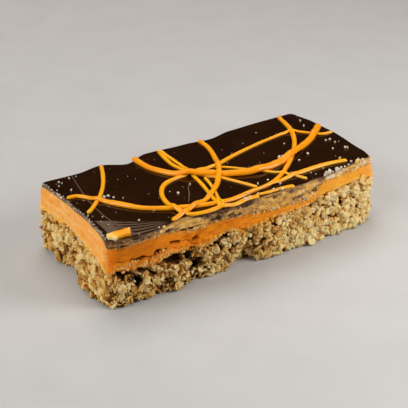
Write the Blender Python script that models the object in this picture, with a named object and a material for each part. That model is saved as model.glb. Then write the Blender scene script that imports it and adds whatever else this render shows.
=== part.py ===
"""A chocolate orange flapjack: one hand-cut bar, lying flat on its underside.

From the bottom up it has three layers, each a closed solid of its own:
oat_base, a craggy slab of pressed oats with whole flakes standing out of its sides,
orange_layer, a soft orange filling whose cut sides bulge over the oats,
chocolate_topping, a thin sheet of dark chocolate with orange drizzle set on it.

Lengths are in metres. Plus X runs along the bar, plus Z is up and the origin is
the middle of the underside. The front is the long side at minus Y.
Tables of edges are in millimetres, as (place along the side, value) pairs.
"""

import math

import bmesh
import bpy
import numpy as np
from mathutils import Matrix, Vector

MM = 0.001

# The bar before its uneven cutting: a rounded rectangle and the height of the top.
LENGTH = 0.115
WIDTH = 0.050
HEIGHT = 0.0265
CORNER_RADIUS = 0.003

# Columns of vertices round the outline.
LONG_COLUMNS = 32
SHORT_COLUMNS = 13
CORNER_COLUMNS = 4

# Gap between layers that touch.
GAP = 0.00032

# The layers' borders inside the bar are planes: height at the middle, rise along X and Y.
ORANGE_FLOOR_Z = 0.0172
ORANGE_FLOOR_RISE = (0.035, 0.030)
FLOOR_INSET = 0.0075
CHOCOLATE_FLOOR_Z = 0.0249

# How far each layer's side stands out from the rectangle, in mm.
FOOT_FRONT = ((-57.5, 0.8), (-53, 2.4), (-45, 2.7), (-37, 1.6), (-33, 3.3), (-24, 1.3),
              (-19, 2.9), (-12, 1.4), (-4, -1.2), (-0.5, -2.0), (3, 2.4), (7, 3.7), (16, 2.7),
              (26, 3.7), (36, 2.8), (47, 2.9), (53, 2.2), (57.5, 0.6))
FOOT_LEFT = ((-25, 0.6), (-16, 1.3), (-10, 2.1), (-4, 0.9), (-0.5, -4.0), (4, -1.8),
             (11, 0.2), (16, -0.8), (19, 0), (25, 0.4))
FOOT_BACK = ((-57.5, 0.3), (-40, -0.8), (-24, -1.6), (-8, 0.8), (10, -0.6), (28, 0.6), (44, -0.4),
             (57.5, 0.2))
FOOT_RIGHT = ((-25, 0.6), (-14, 1.2), (0, 1.6), (14, 1.0), (25, 0.2))
ORANGE_FRONT = ((-57.5, 0.9), (-53, 2.6), (-45, 3.1), (-36, 2.7), (-28, 2.1), (-18, 2.8),
                (-8, 3.6), (3, 3.3), (22, 3.5), (35, 2.9), (45, 2.0), (54, 1.2), (57.5, 1.2))
ORANGE_LEFT = ((-25, 1.2), (-18, 0.4), (-8, -0.3), (5, -0.2), (18, 0.8), (25, 1.7))
ORANGE_BACK = ((-57.5, 1.2), (-38, 0.6), (-23, -2.6), (-12, 0.8), (4, -0.4), (15, -1.6), (30, 0.4),
               (44, 0.8), (57.5, 0.8))
ORANGE_RIGHT = ((-25, 1.2), (-16, 2.1), (0, 2.9), (14, 2.2), (25, 0.6))
TOP_FRONT = ((-57.5, 0.2), (-55, 1.6), (-52, 2.8), (-47, 3.7), (-41, 3.7), (-35, 2.5), (-29, 1.3),
             (-18, 2.9), (-12, 4.1), (-8, 4.7), (-3, 4.2), (5, 3.8), (22, 3.9), (30, 3.4), (38, 2.6),
             (45, 1.6), (54, 0.3), (57.5, 0.2))
TOP_LEFT = ((-25, 0.2), (-18, -0.7), (-6, -1.4), (8, -1.2), (19, -0.5), (25, 0.2))
TOP_BACK = ((-57.5, 0.1), (-42, -0.6), (-33, 0.9), (-23, -3.6), (-13, 0.2), (4, -1.0), (15, -2.4),
            (26, -0.2), (40, 0.2), (57.5, 0.1))
TOP_RIGHT = ((-25, 0.2), (-18, 1.4), (0, 2.7), (12, 2.2), (25, 0.1))

# Heights of the layers' borders where they show round the sides, in mm.
ORANGE_LOW_FRONT = ((-57.5, 11.6), (-55, 14.6), (-50, 14.3), (-43, 13.6), (-35, 14.6), (-27, 14.2),
                    (-20, 13.9), (-14, 16.2), (-9, 16.6), (-5, 15.2), (3, 15.2), (12, 16.3),
                    (26, 16.9), (31, 19.0), (45, 18.9), (50, 19.3), (57.5, 18.4))
ORANGE_LOW_LEFT = ((-25, 11.6), (-22.5, 14.4), (-14, 14.9), (-6, 16.4), (2, 16.7), (10, 16.2),
                   (18, 17.0), (25, 16.4))
ORANGE_LOW_BACK = ((-57.5, 16.4), (-30, 16.9), (-5, 18.2), (20, 18.0), (40, 19.2), (57.5, 18.8))
ORANGE_LOW_RIGHT = ((-25, 18.4), (-8, 18.6), (8, 19.4), (25, 18.8))
CHOCOLATE_LOW_FRONT = ((-57.5, 23.2), (-54, 23.9), (-48, 24.3), (-40, 24.3), (-34, 23.2),
                       (-30, 22.2), (-25, 20.8), (-20, 21.6), (-15, 23.2), (-9, 23.4), (-4, 22.3),
                       (7, 22.2), (12, 20.8), (17, 21.5), (25, 20.5), (31, 22.0), (36, 24.1),
                       (50, 24.5), (57.5, 24.2))
CHOCOLATE_LOW_LEFT = ((-25, 23.2), (-20, 24.8), (25, 25.2))
CHOCOLATE_LOW_BACK = ((-57.5, 25.0), (-20, 23.8), (0, 24.6), (30, 23.9), (57.5, 24.6))
CHOCOLATE_LOW_RIGHT = ((-25, 24.2), (0, 24.6), (25, 24.6))

# Hollows (minus) and lumps (plus) in the oat sides, in mm:
# side, place along it, height, half length, half height, how far in or out.
OAT_FORMS = (
    ("front", -51.5, 11.6, 4.0, 2.6, -2.4),
    ("front", -44.5, 11.9, 3.6, 2.4, -2.6),
    ("front", -33.5, 11.4, 7.0, 2.8, -3.2),
    ("front", -21.5, 5.0, 3.4, 5.0, -2.6),
    ("front", -14.0, 12.2, 4.0, 2.6, -2.2),
    ("front", -2.5, 2.5, 5.0, 4.0, -1.6),
    ("front", 33.0, 13.6, 4.5, 2.4, -1.8),
    ("front", 20.0, 8.5, 4.5, 2.2, -1.0),
    ("front", -40.0, 6.5, 8.0, 3.4, 0.9),
    ("front", 8.0, 8.0, 6.0, 3.6, 0.8),
    ("front", 44.0, 9.0, 8.0, 4.0, 0.6),
    ("left", -12.0, 7.5, 6.0, 4.0, 0.9),
    ("left", 0.5, 3.5, 3.5, 4.5, -1.8),
    ("left", 13.0, 8.0, 6.0, 4.0, 0.6),
    ("left", -19.0, 12.0, 3.4, 2.2, -1.4),
    ("back", -40.0, 11.0, 6.0, 3.2, -1.8),
    ("back", -8.0, 8.0, 7.0, 4.0, 0.8),
    ("back", 18.0, 12.0, 6.0, 3.0, -2.0),
    ("back", 40.0, 7.0, 7.0, 4.0, 0.7),
    ("right", -12.0, 9.0, 5.0, 4.0, -0.9),
    ("right", 10.0, 8.0, 7.0, 4.5, 0.8),
)
OAT_ROWS = 5
GRAIN_SEED = 7
GRAIN_DEPTH = 0.0012

# Whole oat flakes standing out of the sides.
FLAKE_SEED = 21
FLAKE_LENGTH = 0.0058
FLAKE_WIDTH = 0.0046
FLAKE_THICKNESS = 0.0022
FLAKE_ROWS = 3
FLAKE_SPACING = 0.0086
FLAKE_SIDES = 6
FLAKE_LEAN = 0.30
FLAKE_SUNK = 0.12

# The crack that runs along the front of the orange layer.
CRACK_Z = 0.0173
CRACK_DEPTH = 0.0010
CRACK_HALF_HEIGHT = 0.00035
CRACK_FROM_X = -0.056
CRACK_TO_X = -0.016

# The chocolate sheet.
SKIRT_THICKNESS = 0.0006
EDGE_ROUNDING = 0.0011

# Drizzle lines: width in mm, then the points of the line on the top in mm.
DRIZZLE_HEIGHT_SHARE = 0.46
DRIZZLE_SUNK = 0.0005
DRIZZLE_STEP = 0.0048
DRIZZLE = (
    (1.7, ((-32.5, 24.6), (-35.5, 17.8), (-39.5, 10.5), (-44.5, 3.6), (-50.5, -2.4), (-54, -5.2))),
    (1.9, ((-55.2, 8.6), (-51, 7.6), (-46.5, 1.2), (-41.5, -6.4), (-36, -13.2), (-27, -18.6),
           (-16.5, -21.8), (-7, -23.4), (2.5, -21.9), (10.5, -21.3), (18, -18.2), (25.4, -13.4),
           (33.5, -6.4), (41.4, 2.6), (47, 12), (50.2, 24.4))),
    (2.5, ((-19.2, 23.6), (-19.2, 18.4), (-18, 11.5), (-13.6, 3.6), (-6.5, -1.5), (3, -7.4),
           (13, -11), (22.5, -10.6), (31, -8), (40, -3.9), (48.5, 0.6), (58.6, 8.6))),
    (1.8, ((47.5, -22), (40, -20.2), (31, -19.9), (22, -20.5), (13, -22), (3.5, -23.7))),
    (1.8, ((59.4, 1.4), (54, 2.2), (48.5, 8.4), (44, 10.9), (36, 10.2), (24, 7.9), (12.5, 4.9),
           (2.6, 1.7), (-6, 1.2), (-15, 0.9), (-21.6, -1.8), (-26, -8.6), (-27.5, -17), (-25.5, -24.8),
           (-20.5, -26.9), (-13.7, -26.9), (-8, -28), (-2.5, -26.9), (2.6, -27.6))),
    (1.4, ((-7.7, 3), (-2, 3.2), (5.4, -0.2), (12.2, -6.6), (18, -13.6), (23, -20.2), (25.6, -26.2))),
    (1.9, ((10.2, 23), (9.9, 16.5), (7.6, 8.6), (3, -1.6), (-4.4, -11.4), (-12.4, -18.2),
           (-23, -22.4), (-32.4, -25.6))),
    (1.5, ((-7.8, 24.2), (-9.6, 16), (-10, 8.4), (-6.5, -0.8), (0.2, -9.6), (5, -18.4), (6.4, -21.4))),
    (1.5, ((-8.2, 22.6), (-6.8, 15), (-7, 4), (-9, -8.4), (-11.8, -20), (-13.2, -27))),
    (1.2, ((-5.4, -4.8), (-7.2, -12.6), (-10.4, -21.4), (-12, -28.2))),
    (1.5, ((18, -27.4), (13, -26.4), (6.4, -26), (2.2, -25))),
)
# A broken piece of drizzle lying near the left corner: outline in mm and thickness.
CHUNK_OUTLINE = ((-55.8, -25.4), (-56, -22.2), (-46.8, -21.6), (-49.2, -26.4))
CHUNK_THICKNESS = 0.0016

# Colours of the plain materials: red, green, blue, roughness.
OAT_LOOK = (0.50, 0.32, 0.13, 0.75)
ORANGE_LOOK = (0.80, 0.30, 0.05, 0.55)
CHOCOLATE_LOOK = (0.022, 0.009, 0.004, 0.25)


def clear_scene():
    """Remove every object that the file starts with."""
    for thing in list(bpy.data.objects):
        bpy.data.objects.remove(thing, do_unlink=True)


def smooth_table(table, places):
    """Read a table of (place, value) pairs in mm at places in metres, eased between the pairs."""
    stations = np.array([pair[0] for pair in table]) * MM
    values = np.array([pair[1] for pair in table]) * MM
    places = np.clip(places, stations[0], stations[-1])
    index = np.clip(np.searchsorted(stations, places) - 1, 0, len(stations) - 2)
    share = (places - stations[index]) / (stations[index + 1] - stations[index])
    eased = share * share * (3 - 2 * share)
    return values[index] * (1 - eased) + values[index + 1] * eased


def outline():
    """Points and outward directions round the rounded rectangle, counter-clockwise from above."""
    half_x = LENGTH / 2 - CORNER_RADIUS
    half_y = WIDTH / 2 - CORNER_RADIUS
    runs = (
        (-half_x, -half_y, -90, LONG_COLUMNS, 2 * half_x, 0),
        (half_x, -half_y, 0, SHORT_COLUMNS, 0, 2 * half_y),
        (half_x, half_y, 90, LONG_COLUMNS, -2 * half_x, 0),
        (-half_x, half_y, 180, SHORT_COLUMNS, 0, -2 * half_y),
    )
    points, outward = [], []
    for x, y, turn, columns, run_x, run_y in runs:
        direction = (math.cos(math.radians(turn)), math.sin(math.radians(turn)))
        for k in range(columns):
            share = k / columns
            points.append((x + run_x * share + CORNER_RADIUS * direction[0],
                           y + run_y * share + CORNER_RADIUS * direction[1]))
            outward.append(direction)
        for k in range(CORNER_COLUMNS):
            angle = math.radians(turn + 90 * k / CORNER_COLUMNS)
            direction = (math.cos(angle), math.sin(angle))
            points.append((x + run_x + CORNER_RADIUS * direction[0],
                           y + run_y + CORNER_RADIUS * direction[1]))
            outward.append(direction)
    return np.array(points), np.array(outward)


POINTS, OUTWARD = outline()
COLUMNS = len(POINTS)
SIDES = {"front": -OUTWARD[:, 1], "right": OUTWARD[:, 0], "back": OUTWARD[:, 1], "left": -OUTWARD[:, 0]}
SHARE = {side: np.clip(facing, 0, 1) ** 2 for side, facing in SIDES.items()}
ALONG = {"front": POINTS[:, 0], "back": POINTS[:, 0], "left": POINTS[:, 1], "right": POINTS[:, 1]}


def round_bar(front, right, back, left):
    """One value for each column, from the four sides' tables, shared out at the corners."""
    tables = {"front": front, "right": right, "back": back, "left": left}
    return sum(SHARE[side] * smooth_table(tables[side], ALONG[side]) for side in tables)


FOOT = round_bar(FOOT_FRONT, FOOT_RIGHT, FOOT_BACK, FOOT_LEFT)
ORANGE_SIDE = round_bar(ORANGE_FRONT, ORANGE_RIGHT, ORANGE_BACK, ORANGE_LEFT)
TOP_SIDE = round_bar(TOP_FRONT, TOP_RIGHT, TOP_BACK, TOP_LEFT)
ORANGE_LOW = round_bar(ORANGE_LOW_FRONT, ORANGE_LOW_RIGHT, ORANGE_LOW_BACK, ORANGE_LOW_LEFT)
CHOCOLATE_LOW = round_bar(CHOCOLATE_LOW_FRONT, CHOCOLATE_LOW_RIGHT, CHOCOLATE_LOW_BACK,
                          CHOCOLATE_LOW_LEFT)


def side_ring(offset, height):
    """The outline moved outwards by offset, at the height given for each column."""
    flat = POINTS + OUTWARD * np.broadcast_to(offset, COLUMNS)[:, None]
    return np.column_stack([flat, np.broadcast_to(height, COLUMNS)])


def inner_ring(inset, height):
    """The outline drawn smaller about the middle; height is a number, or a function of x and y."""
    flat = POINTS * np.array([1 - 2 * inset / LENGTH, 1 - 2 * inset / WIDTH])
    level = height(flat[:, 0], flat[:, 1]) if callable(height) else height
    return np.column_stack([flat, np.broadcast_to(level, COLUMNS)])


def orange_floor(x, y):
    """The plane between the oats and the orange layer inside the bar."""
    return ORANGE_FLOOR_Z + ORANGE_FLOOR_RISE[0] * x + ORANGE_FLOOR_RISE[1] * y


def shell_of_rings(name, rings):
    """A closed mesh object from rings of points, lowest inner ring first, filled at both ends."""
    mesh = bmesh.new()
    rows = [[mesh.verts.new(point) for point in ring] for ring in rings]
    for low, high in zip(rows, rows[1:]):
        for k in range(COLUMNS):
            after = (k + 1) % COLUMNS
            mesh.faces.new((low[k], low[after], high[after], high[k]))
    mesh.faces.new(tuple(reversed(rows[0])))
    mesh.faces.new(tuple(rows[-1]))
    bmesh.ops.triangulate(mesh, faces=mesh.faces[:])
    return object_of(name, mesh)


def object_of(name, mesh):
    """Put a bmesh into a new object of the scene."""
    data = bpy.data.meshes.new(name)
    mesh.to_mesh(data)
    mesh.free()
    thing = bpy.data.objects.new(name, data)
    bpy.context.scene.collection.objects.link(thing)
    return thing


def keep_largest_shell(thing):
    """Delete loose scraps, and the walls of any hollow that a union sealed."""
    mesh = bmesh.new()
    mesh.from_mesh(thing.data)
    unseen = set(mesh.verts)
    shells = []
    while unseen:
        frontier = [unseen.pop()]
        shell = set(frontier)
        while frontier:
            vert = frontier.pop()
            for edge in vert.link_edges:
                other = edge.other_vert(vert)
                if other in unseen:
                    unseen.remove(other)
                    shell.add(other)
                    frontier.append(other)
        shells.append(shell)
    largest = max(shells, key=len)
    scraps = [vert for shell in shells if shell is not largest for vert in shell]
    bmesh.ops.delete(mesh, geom=scraps, context="VERTS")
    bmesh.ops.triangulate(mesh, faces=mesh.faces[:])
    mesh.to_mesh(thing.data)
    mesh.free()


def union(thing, pieces):
    """Join the pieces to the thing with one Boolean on a collection, and remove them."""
    group = bpy.data.collections.new("joined_to_" + thing.name)
    bpy.context.scene.collection.children.link(group)
    for piece in pieces:
        bpy.context.scene.collection.objects.unlink(piece)
        group.objects.link(piece)
    joint = thing.modifiers.new("Union", "BOOLEAN")
    joint.operation = "UNION"
    joint.operand_type = "COLLECTION"
    joint.collection = group
    joint.solver = "EXACT"
    bpy.context.view_layer.objects.active = thing
    bpy.ops.object.modifier_apply(modifier=joint.name)
    for piece in list(group.objects):
        bpy.data.objects.remove(piece, do_unlink=True)
    bpy.data.collections.remove(group)
    keep_largest_shell(thing)


def give_material(thing, look):
    """A plain Principled material in the layer's colour."""
    red, green, blue, roughness = look
    material = bpy.data.materials.new(thing.name + "_plain")
    material.use_nodes = True
    shader = material.node_tree.nodes["Principled BSDF"]
    shader.inputs["Base Color"].default_value = (red, green, blue, 1)
    shader.inputs["Roughness"].default_value = roughness
    shader.inputs["Metallic"].default_value = 0
    material.diffuse_color = (red, green, blue, 1)
    thing.data.materials.append(material)


def oat_side(height):
    """How far the oat side stands out at the height given for each column."""
    shoulder = ORANGE_SIDE - 0.9 * MM
    rise = np.clip(height / (ORANGE_LOW - 1 * MM), 0, 1)
    offset = FOOT * (1 - rise) + shoulder * rise
    for side, place, level, half_length, half_height, amount in OAT_FORMS:
        along = (ALONG[side] - place * MM) / (half_length * MM)
        up = (height - level * MM) / (half_height * MM)
        offset = offset + SHARE[side] * amount * MM * np.exp(-along ** 2 - up ** 2)
    return offset


def grain(random):
    """Uneven cut of one row of the oat side: a random draw for each column, eased along it."""
    draw = random.uniform(-1, 1, COLUMNS)
    neighbours = (np.roll(draw, 1) + np.roll(draw, -1)) / 4
    return (draw * 0.75 + neighbours) * GRAIN_DEPTH


def oat_core():
    """The slab of oats: a flat underside, uneven sides and the border that the orange lies on."""
    random = np.random.default_rng(GRAIN_SEED)
    border = ORANGE_LOW - GAP
    rings = [
        inner_ring(FLOOR_INSET, 0),
        side_ring(np.minimum(FOOT, oat_side(np.zeros(COLUMNS))) - 1.5 * MM, 0),
    ]
    lowest = 1.1 * MM
    highest = border - 1.3 * MM
    for row in range(OAT_ROWS):
        height = lowest + (highest - lowest) * row / (OAT_ROWS - 1)
        rings.append(side_ring(oat_side(height) + grain(random), height))
    rings.append(side_ring(ORANGE_SIDE - 1.9 * MM, border))
    rings.append(inner_ring(FLOOR_INSET, orange_floor))
    rings[-1][:, 2] -= GAP
    return shell_of_rings("oat_base", rings)


def flake_mesh(size, place, turn):
    """One rolled oat: a six-sided cushion, wider at its middle, turned and set in place."""
    mesh = bmesh.new()
    rows = []
    for level, spread in ((-0.5, 0.62), (0.0, 1.0), (0.5, 0.62)):
        ring = []
        for k in range(FLAKE_SIDES):
            angle = 2 * math.pi * k / FLAKE_SIDES
            local = Vector((0.5 * size[0] * spread * math.cos(angle),
                            0.5 * size[1] * spread * math.sin(angle), size[2] * level))
            ring.append(mesh.verts.new(place + turn @ local))
        rows.append(ring)
    for low, high in zip(rows, rows[1:]):
        for k in range(FLAKE_SIDES):
            after = (k + 1) % FLAKE_SIDES
            mesh.faces.new((low[k], low[after], high[after], high[k]))
    mesh.faces.new(tuple(reversed(rows[0])))
    mesh.faces.new(tuple(rows[-1]))
    return mesh


def flakes():
    """Flakes in rows round the sides, each shifted, sized, tilted and spun by a seeded draw."""
    random = np.random.default_rng(FLAKE_SEED)
    perimeter = np.linalg.norm(np.roll(POINTS, -1, axis=0) - POINTS, axis=1)
    travelled = np.concatenate([[0], np.cumsum(perimeter)])
    count = round(travelled[-1] / FLAKE_SPACING)
    pieces = []
    for row in range(FLAKE_ROWS):
        for k in range(count):
            draw = random.uniform(-1, 1, 8)
            spot = (k + 0.5 * (row % 2) + 0.28 * draw[0]) / count * travelled[-1] % travelled[-1]
            column = int(np.clip(np.searchsorted(travelled, spot) - 1, 0, COLUMNS - 1))
            size = Vector((FLAKE_LENGTH, FLAKE_WIDTH, FLAKE_THICKNESS)) * (1 + 0.22 * draw[1])
            low = 0.62 * size.y
            high = ORANGE_LOW[column] - 0.66 * size.y
            level = low + (high - low) * (row + 0.5 + 0.3 * draw[2]) / FLAKE_ROWS
            heights = np.full(COLUMNS, level)
            out = oat_side(heights)[column] + (0.25 * draw[3] - FLAKE_SUNK) * size.z
            direction = Vector((OUTWARD[column][0], OUTWARD[column][1], 0))
            place = Vector((POINTS[column][0], POINTS[column][1], level)) + direction * out
            facing = direction + Vector((0, 0, 0.45 * draw[4] + FLAKE_LEAN * (1 - row)))
            facing += direction.cross(Vector((0, 0, 1))) * 0.5 * draw[5]
            turn = facing.to_track_quat("Z", "Y").to_matrix() @ Matrix.Rotation(math.pi * draw[6], 3, "Z")
            mesh = flake_mesh(size, place, turn)
            lowest = min(vert.co.z for vert in mesh.verts)
            highest = max(vert.co.z for vert in mesh.verts)
            lift = max(0.35 * MM - lowest, 0) - max(highest - ORANGE_LOW[column] + 0.7 * MM, 0)
            bmesh.ops.translate(mesh, verts=mesh.verts[:], vec=(0, 0, lift))
            pieces.append(object_of(f"flake_{row}_{k}", mesh))
    return pieces


def make_oat_base():
    """The oat slab with its flakes joined on."""
    core = oat_core()
    union(core, flakes())
    give_material(core, OAT_LOOK)
    return core


def crack_depth():
    """Depth of the crack at each column: full along the left part of the front, easing out."""
    ease = 4 * MM
    along = ALONG["front"]
    share = np.clip((along - CRACK_FROM_X) / ease, 0, 1) * np.clip((CRACK_TO_X - along) / ease, 0, 1)
    return CRACK_DEPTH * share * SHARE["front"]


def make_orange_layer():
    """The filling: it bulges over the oats, is cracked in front and steps in under the chocolate."""
    middle = (ORANGE_LOW + CHOCOLATE_LOW) / 2
    crack = np.where(crack_depth() > 0, CRACK_Z, middle)
    step = TOP_SIDE - SKIRT_THICKNESS - GAP
    side_high = ORANGE_SIDE * 0.4 + (TOP_SIDE - 0.2 * MM) * 0.6
    rings = [
        inner_ring(FLOOR_INSET, orange_floor),
        side_ring(ORANGE_SIDE - 1.3 * MM, ORANGE_LOW),
        side_ring(ORANGE_SIDE - 0.1 * MM, ORANGE_LOW + 0.5 * MM),
        side_ring(ORANGE_SIDE + 0.1 * MM, crack - CRACK_HALF_HEIGHT),
        side_ring(ORANGE_SIDE - crack_depth(), crack),
        side_ring(ORANGE_SIDE, crack + CRACK_HALF_HEIGHT),
        side_ring(side_high, CHOCOLATE_LOW - GAP),
        side_ring(step, CHOCOLATE_LOW - GAP + 0.1 * MM),
        side_ring(step - 0.5 * MM, CHOCOLATE_FLOOR_Z - GAP),
        inner_ring(FLOOR_INSET, CHOCOLATE_FLOOR_Z - GAP),
    ]
    layer = shell_of_rings("orange_layer", rings)
    give_material(layer, ORANGE_LOOK)
    return layer


def chocolate_sheet():
    """The sheet: flat underneath, a thin skirt down the cut sides and a rounded upper edge."""
    inside = TOP_SIDE - SKIRT_THICKNESS
    rings = [
        inner_ring(FLOOR_INSET, CHOCOLATE_FLOOR_Z),
        side_ring(inside - 0.5 * MM, CHOCOLATE_FLOOR_Z),
        side_ring(inside, CHOCOLATE_LOW + 0.05 * MM),
        side_ring(TOP_SIDE, CHOCOLATE_LOW),
        side_ring(TOP_SIDE, HEIGHT - EDGE_ROUNDING),
        side_ring(TOP_SIDE - 0.4 * EDGE_ROUNDING, HEIGHT - 0.35 * EDGE_ROUNDING),
        side_ring(TOP_SIDE - 1.2 * EDGE_ROUNDING, HEIGHT),
        inner_ring(FLOOR_INSET, HEIGHT),
    ]
    return shell_of_rings("chocolate_topping", rings)


def smooth_line(points):
    """A Catmull-Rom line through the points, read again at even steps."""
    points = np.array(points) * MM
    ends = np.vstack([2 * points[0] - points[1], points, 2 * points[-1] - points[-2]])
    fine = []
    for a, b, c, d in zip(ends, ends[1:], ends[2:], ends[3:]):
        t = np.linspace(0, 1, 12, endpoint=False)[:, None]
        fine.append(0.5 * (2 * b + (c - a) * t + (2 * a - 5 * b + 4 * c - d) * t ** 2
                           + (3 * b - a - 3 * c + d) * t ** 3))
    fine = np.vstack(fine + [points[-1:]])
    reach = np.concatenate([[0], np.cumsum(np.linalg.norm(np.diff(fine, axis=0), axis=1))])
    steps = max(2, round(reach[-1] / DRIZZLE_STEP))
    even = np.linspace(0, reach[-1], steps + 1)
    return np.column_stack([np.interp(even, reach, fine[:, k]) for k in range(2)])


def drizzle_line(name, width, points):
    """One line of drizzle: a five-sided low arch carried along its path, sunk in the sheet."""
    path = smooth_line(points)
    heading = np.gradient(path, axis=0)
    heading /= np.linalg.norm(heading, axis=1)[:, None]
    across = np.column_stack([-heading[:, 1], heading[:, 0]])
    width = width * MM
    arch = ((-0.50, -DRIZZLE_SUNK), (0.50, -DRIZZLE_SUNK), (0.46, 0.5 * DRIZZLE_HEIGHT_SHARE * width),
            (0.0, DRIZZLE_HEIGHT_SHARE * width), (-0.46, 0.5 * DRIZZLE_HEIGHT_SHARE * width))
    mesh = bmesh.new()
    rows = []
    for k, (point, side) in enumerate(zip(path, across)):
        swell = 0.72 if k in (0, len(path) - 1) else 1 + 0.08 * math.sin(1.9 * k)
        rows.append([mesh.verts.new((*(point + side * share * width * swell), HEIGHT + level))
                     for share, level in arch])
    for low, high in zip(rows, rows[1:]):
        for k in range(len(arch)):
            after = (k + 1) % len(arch)
            mesh.faces.new((low[k], low[after], high[after], high[k]))
    mesh.faces.new(tuple(reversed(rows[0])))
    mesh.faces.new(tuple(rows[-1]))
    bmesh.ops.recalc_face_normals(mesh, faces=mesh.faces[:])
    return object_of(name, mesh)


def drizzle_chunk():
    """The broken piece: a low block on its four-cornered outline."""
    mesh = bmesh.new()
    outline_points = np.array(CHUNK_OUTLINE) * MM
    middle = outline_points.mean(axis=0)
    low = [mesh.verts.new((*point, HEIGHT - DRIZZLE_SUNK)) for point in outline_points]
    inset = [middle + (point - middle) * 0.9 for point in outline_points]
    high = [mesh.verts.new((*point, HEIGHT + CHUNK_THICKNESS)) for point in inset]
    for k in range(len(low)):
        after = (k + 1) % len(low)
        mesh.faces.new((low[k], low[after], high[after], high[k]))
    mesh.faces.new(tuple(low))
    mesh.faces.new(tuple(high))
    bmesh.ops.recalc_face_normals(mesh, faces=mesh.faces[:])
    return object_of("drizzle_chunk", mesh)


def make_chocolate_topping():
    """The chocolate sheet with its drizzle joined on."""
    sheet = chocolate_sheet()
    lines = [drizzle_line(f"drizzle_{k}", *line) for k, line in enumerate(DRIZZLE)]
    union(sheet, lines + [drizzle_chunk()])
    give_material(sheet, CHOCOLATE_LOOK)
    return sheet


def main():
    """Build the three layers."""
    clear_scene()
    make_oat_base()
    make_orange_layer()
    make_chocolate_topping()


main()
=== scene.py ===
"""Looks of a chocolate orange flapjack: oats, orange filling, dark chocolate and drizzle.

Everything is in metres in the frame's own axes: plus X runs along the bar, minus Y is
its front, and Z is up from the flat underside. Tables are in millimetres; a table of two
columns gives a place along a side and a value there.
"""

import itertools
import math

import bpy
import numpy as np
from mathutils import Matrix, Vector


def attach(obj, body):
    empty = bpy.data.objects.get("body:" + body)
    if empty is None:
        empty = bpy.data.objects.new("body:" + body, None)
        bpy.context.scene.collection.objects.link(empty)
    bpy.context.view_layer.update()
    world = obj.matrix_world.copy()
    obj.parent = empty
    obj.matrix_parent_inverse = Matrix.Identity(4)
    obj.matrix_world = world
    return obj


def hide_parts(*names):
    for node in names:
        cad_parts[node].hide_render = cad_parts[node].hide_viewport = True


bl_info = {
    "name": "Chocolate orange flapjack",
    "version": (1, 0, 0),
    "blender": (4, 5, 0),
    "location": "View3D > Sidebar > Flapjack",
    "description": "Builds the visible surfaces of a cut oat bar with orange filling and chocolate",
    "category": "Object",
}

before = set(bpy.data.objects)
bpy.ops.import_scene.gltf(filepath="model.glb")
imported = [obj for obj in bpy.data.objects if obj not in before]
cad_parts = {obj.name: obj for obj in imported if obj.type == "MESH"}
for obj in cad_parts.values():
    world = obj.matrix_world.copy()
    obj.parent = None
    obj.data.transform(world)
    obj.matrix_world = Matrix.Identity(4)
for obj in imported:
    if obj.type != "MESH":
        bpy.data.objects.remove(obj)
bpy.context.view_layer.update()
ROOT = "root"

MM = 0.001

# The bar before its uneven cutting, its rounded corners, the gap between two layers and the
# height of the chocolate's underside.
LENGTH = 0.115
WIDTH = 0.050
HEIGHT = 0.0265
CORNER_RADIUS = 0.0022
GAP = 0.00032
CHOCOLATE_FLOOR = 0.0249

# How far the sides stand out from the rectangle at the oats' foot, at the filling's lower
# border and at the top, in mm.
FOOT = {
    "front": ((-57.5, 0.8), (-53, 2.4), (-45, 2.7), (-37, 1.6), (-33, 3.3), (-24, 1.3),
              (-19, 2.9), (-12, 1.4), (-4, -1.2), (-0.5, -2.0), (3, 2.4), (7, 3.7), (16, 2.7),
              (26, 3.7), (36, 2.8), (47, 2.9), (53, 2.2), (57.5, 0.6)),
    "right": ((-25, 0.6), (-14, 1.2), (0, 1.6), (14, 1.0), (25, 0.2)),
    "back": ((-57.5, 0.3), (-40, -0.8), (-24, -1.6), (-8, 0.8), (10, -0.6), (28, 0.6), (44, -0.4),
             (57.5, 0.2)),
    "left": ((-25, 0.6), (-16, 1.3), (-10, 2.1), (-4, 0.9), (-0.5, -4.0), (4, -1.8), (11, 0.2),
             (16, -0.8), (19, 0), (25, 0.4)),
}
ORANGE = {
    "front": ((-57.5, 0.9), (-53, 2.6), (-45, 3.1), (-36, 2.7), (-28, 2.1), (-18, 2.8), (-8, 3.6),
              (3, 3.3), (22, 3.5), (35, 2.9), (45, 2.0), (54, 1.2), (57.5, 1.2)),
    "right": ((-25, 2.8), (-22, 1.5), (-16, 2.1), (0, 2.9), (14, 2.2), (25, 0.6)),
    "back": ((-57.5, 1.2), (-38, 0.6), (-23, -2.6), (-12, 0.8), (4, -0.4), (15, -1.6), (30, 0.4),
             (44, 0.8), (57.5, 0.8)),
    "left": ((-25, 1.2), (-18, 0.4), (-8, -0.3), (5, -0.2), (18, 0.8), (25, 1.7)),
}
TOP = {
    "front": ((-57.5, 0.2), (-55, 1.6), (-52, 2.8), (-47, 3.7), (-41, 3.7), (-35, 2.5),
              (-29, 1.3), (-18, 2.9), (-12, 4.1), (-8, 4.7), (-3, 4.2), (5, 3.8), (22, 3.9),
              (30, 3.4), (38, 2.6), (45, 1.6), (54, 0.3), (57.5, 0.2)),
    "right": ((-25, 0.2), (-18, 1.4), (0, 2.7), (12, 2.2), (25, 0.1)),
    "back": ((-57.5, 0.1), (-42, -0.6), (-33, 0.9), (-23, -3.6), (-13, 0.2), (4, -1.0),
             (15, -2.4), (26, -0.2), (40, 0.2), (57.5, 0.1)),
    "left": ((-25, 0.2), (-18, -0.7), (-6, -1.4), (8, -1.2), (19, -0.5), (25, 0.2)),
}

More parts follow.
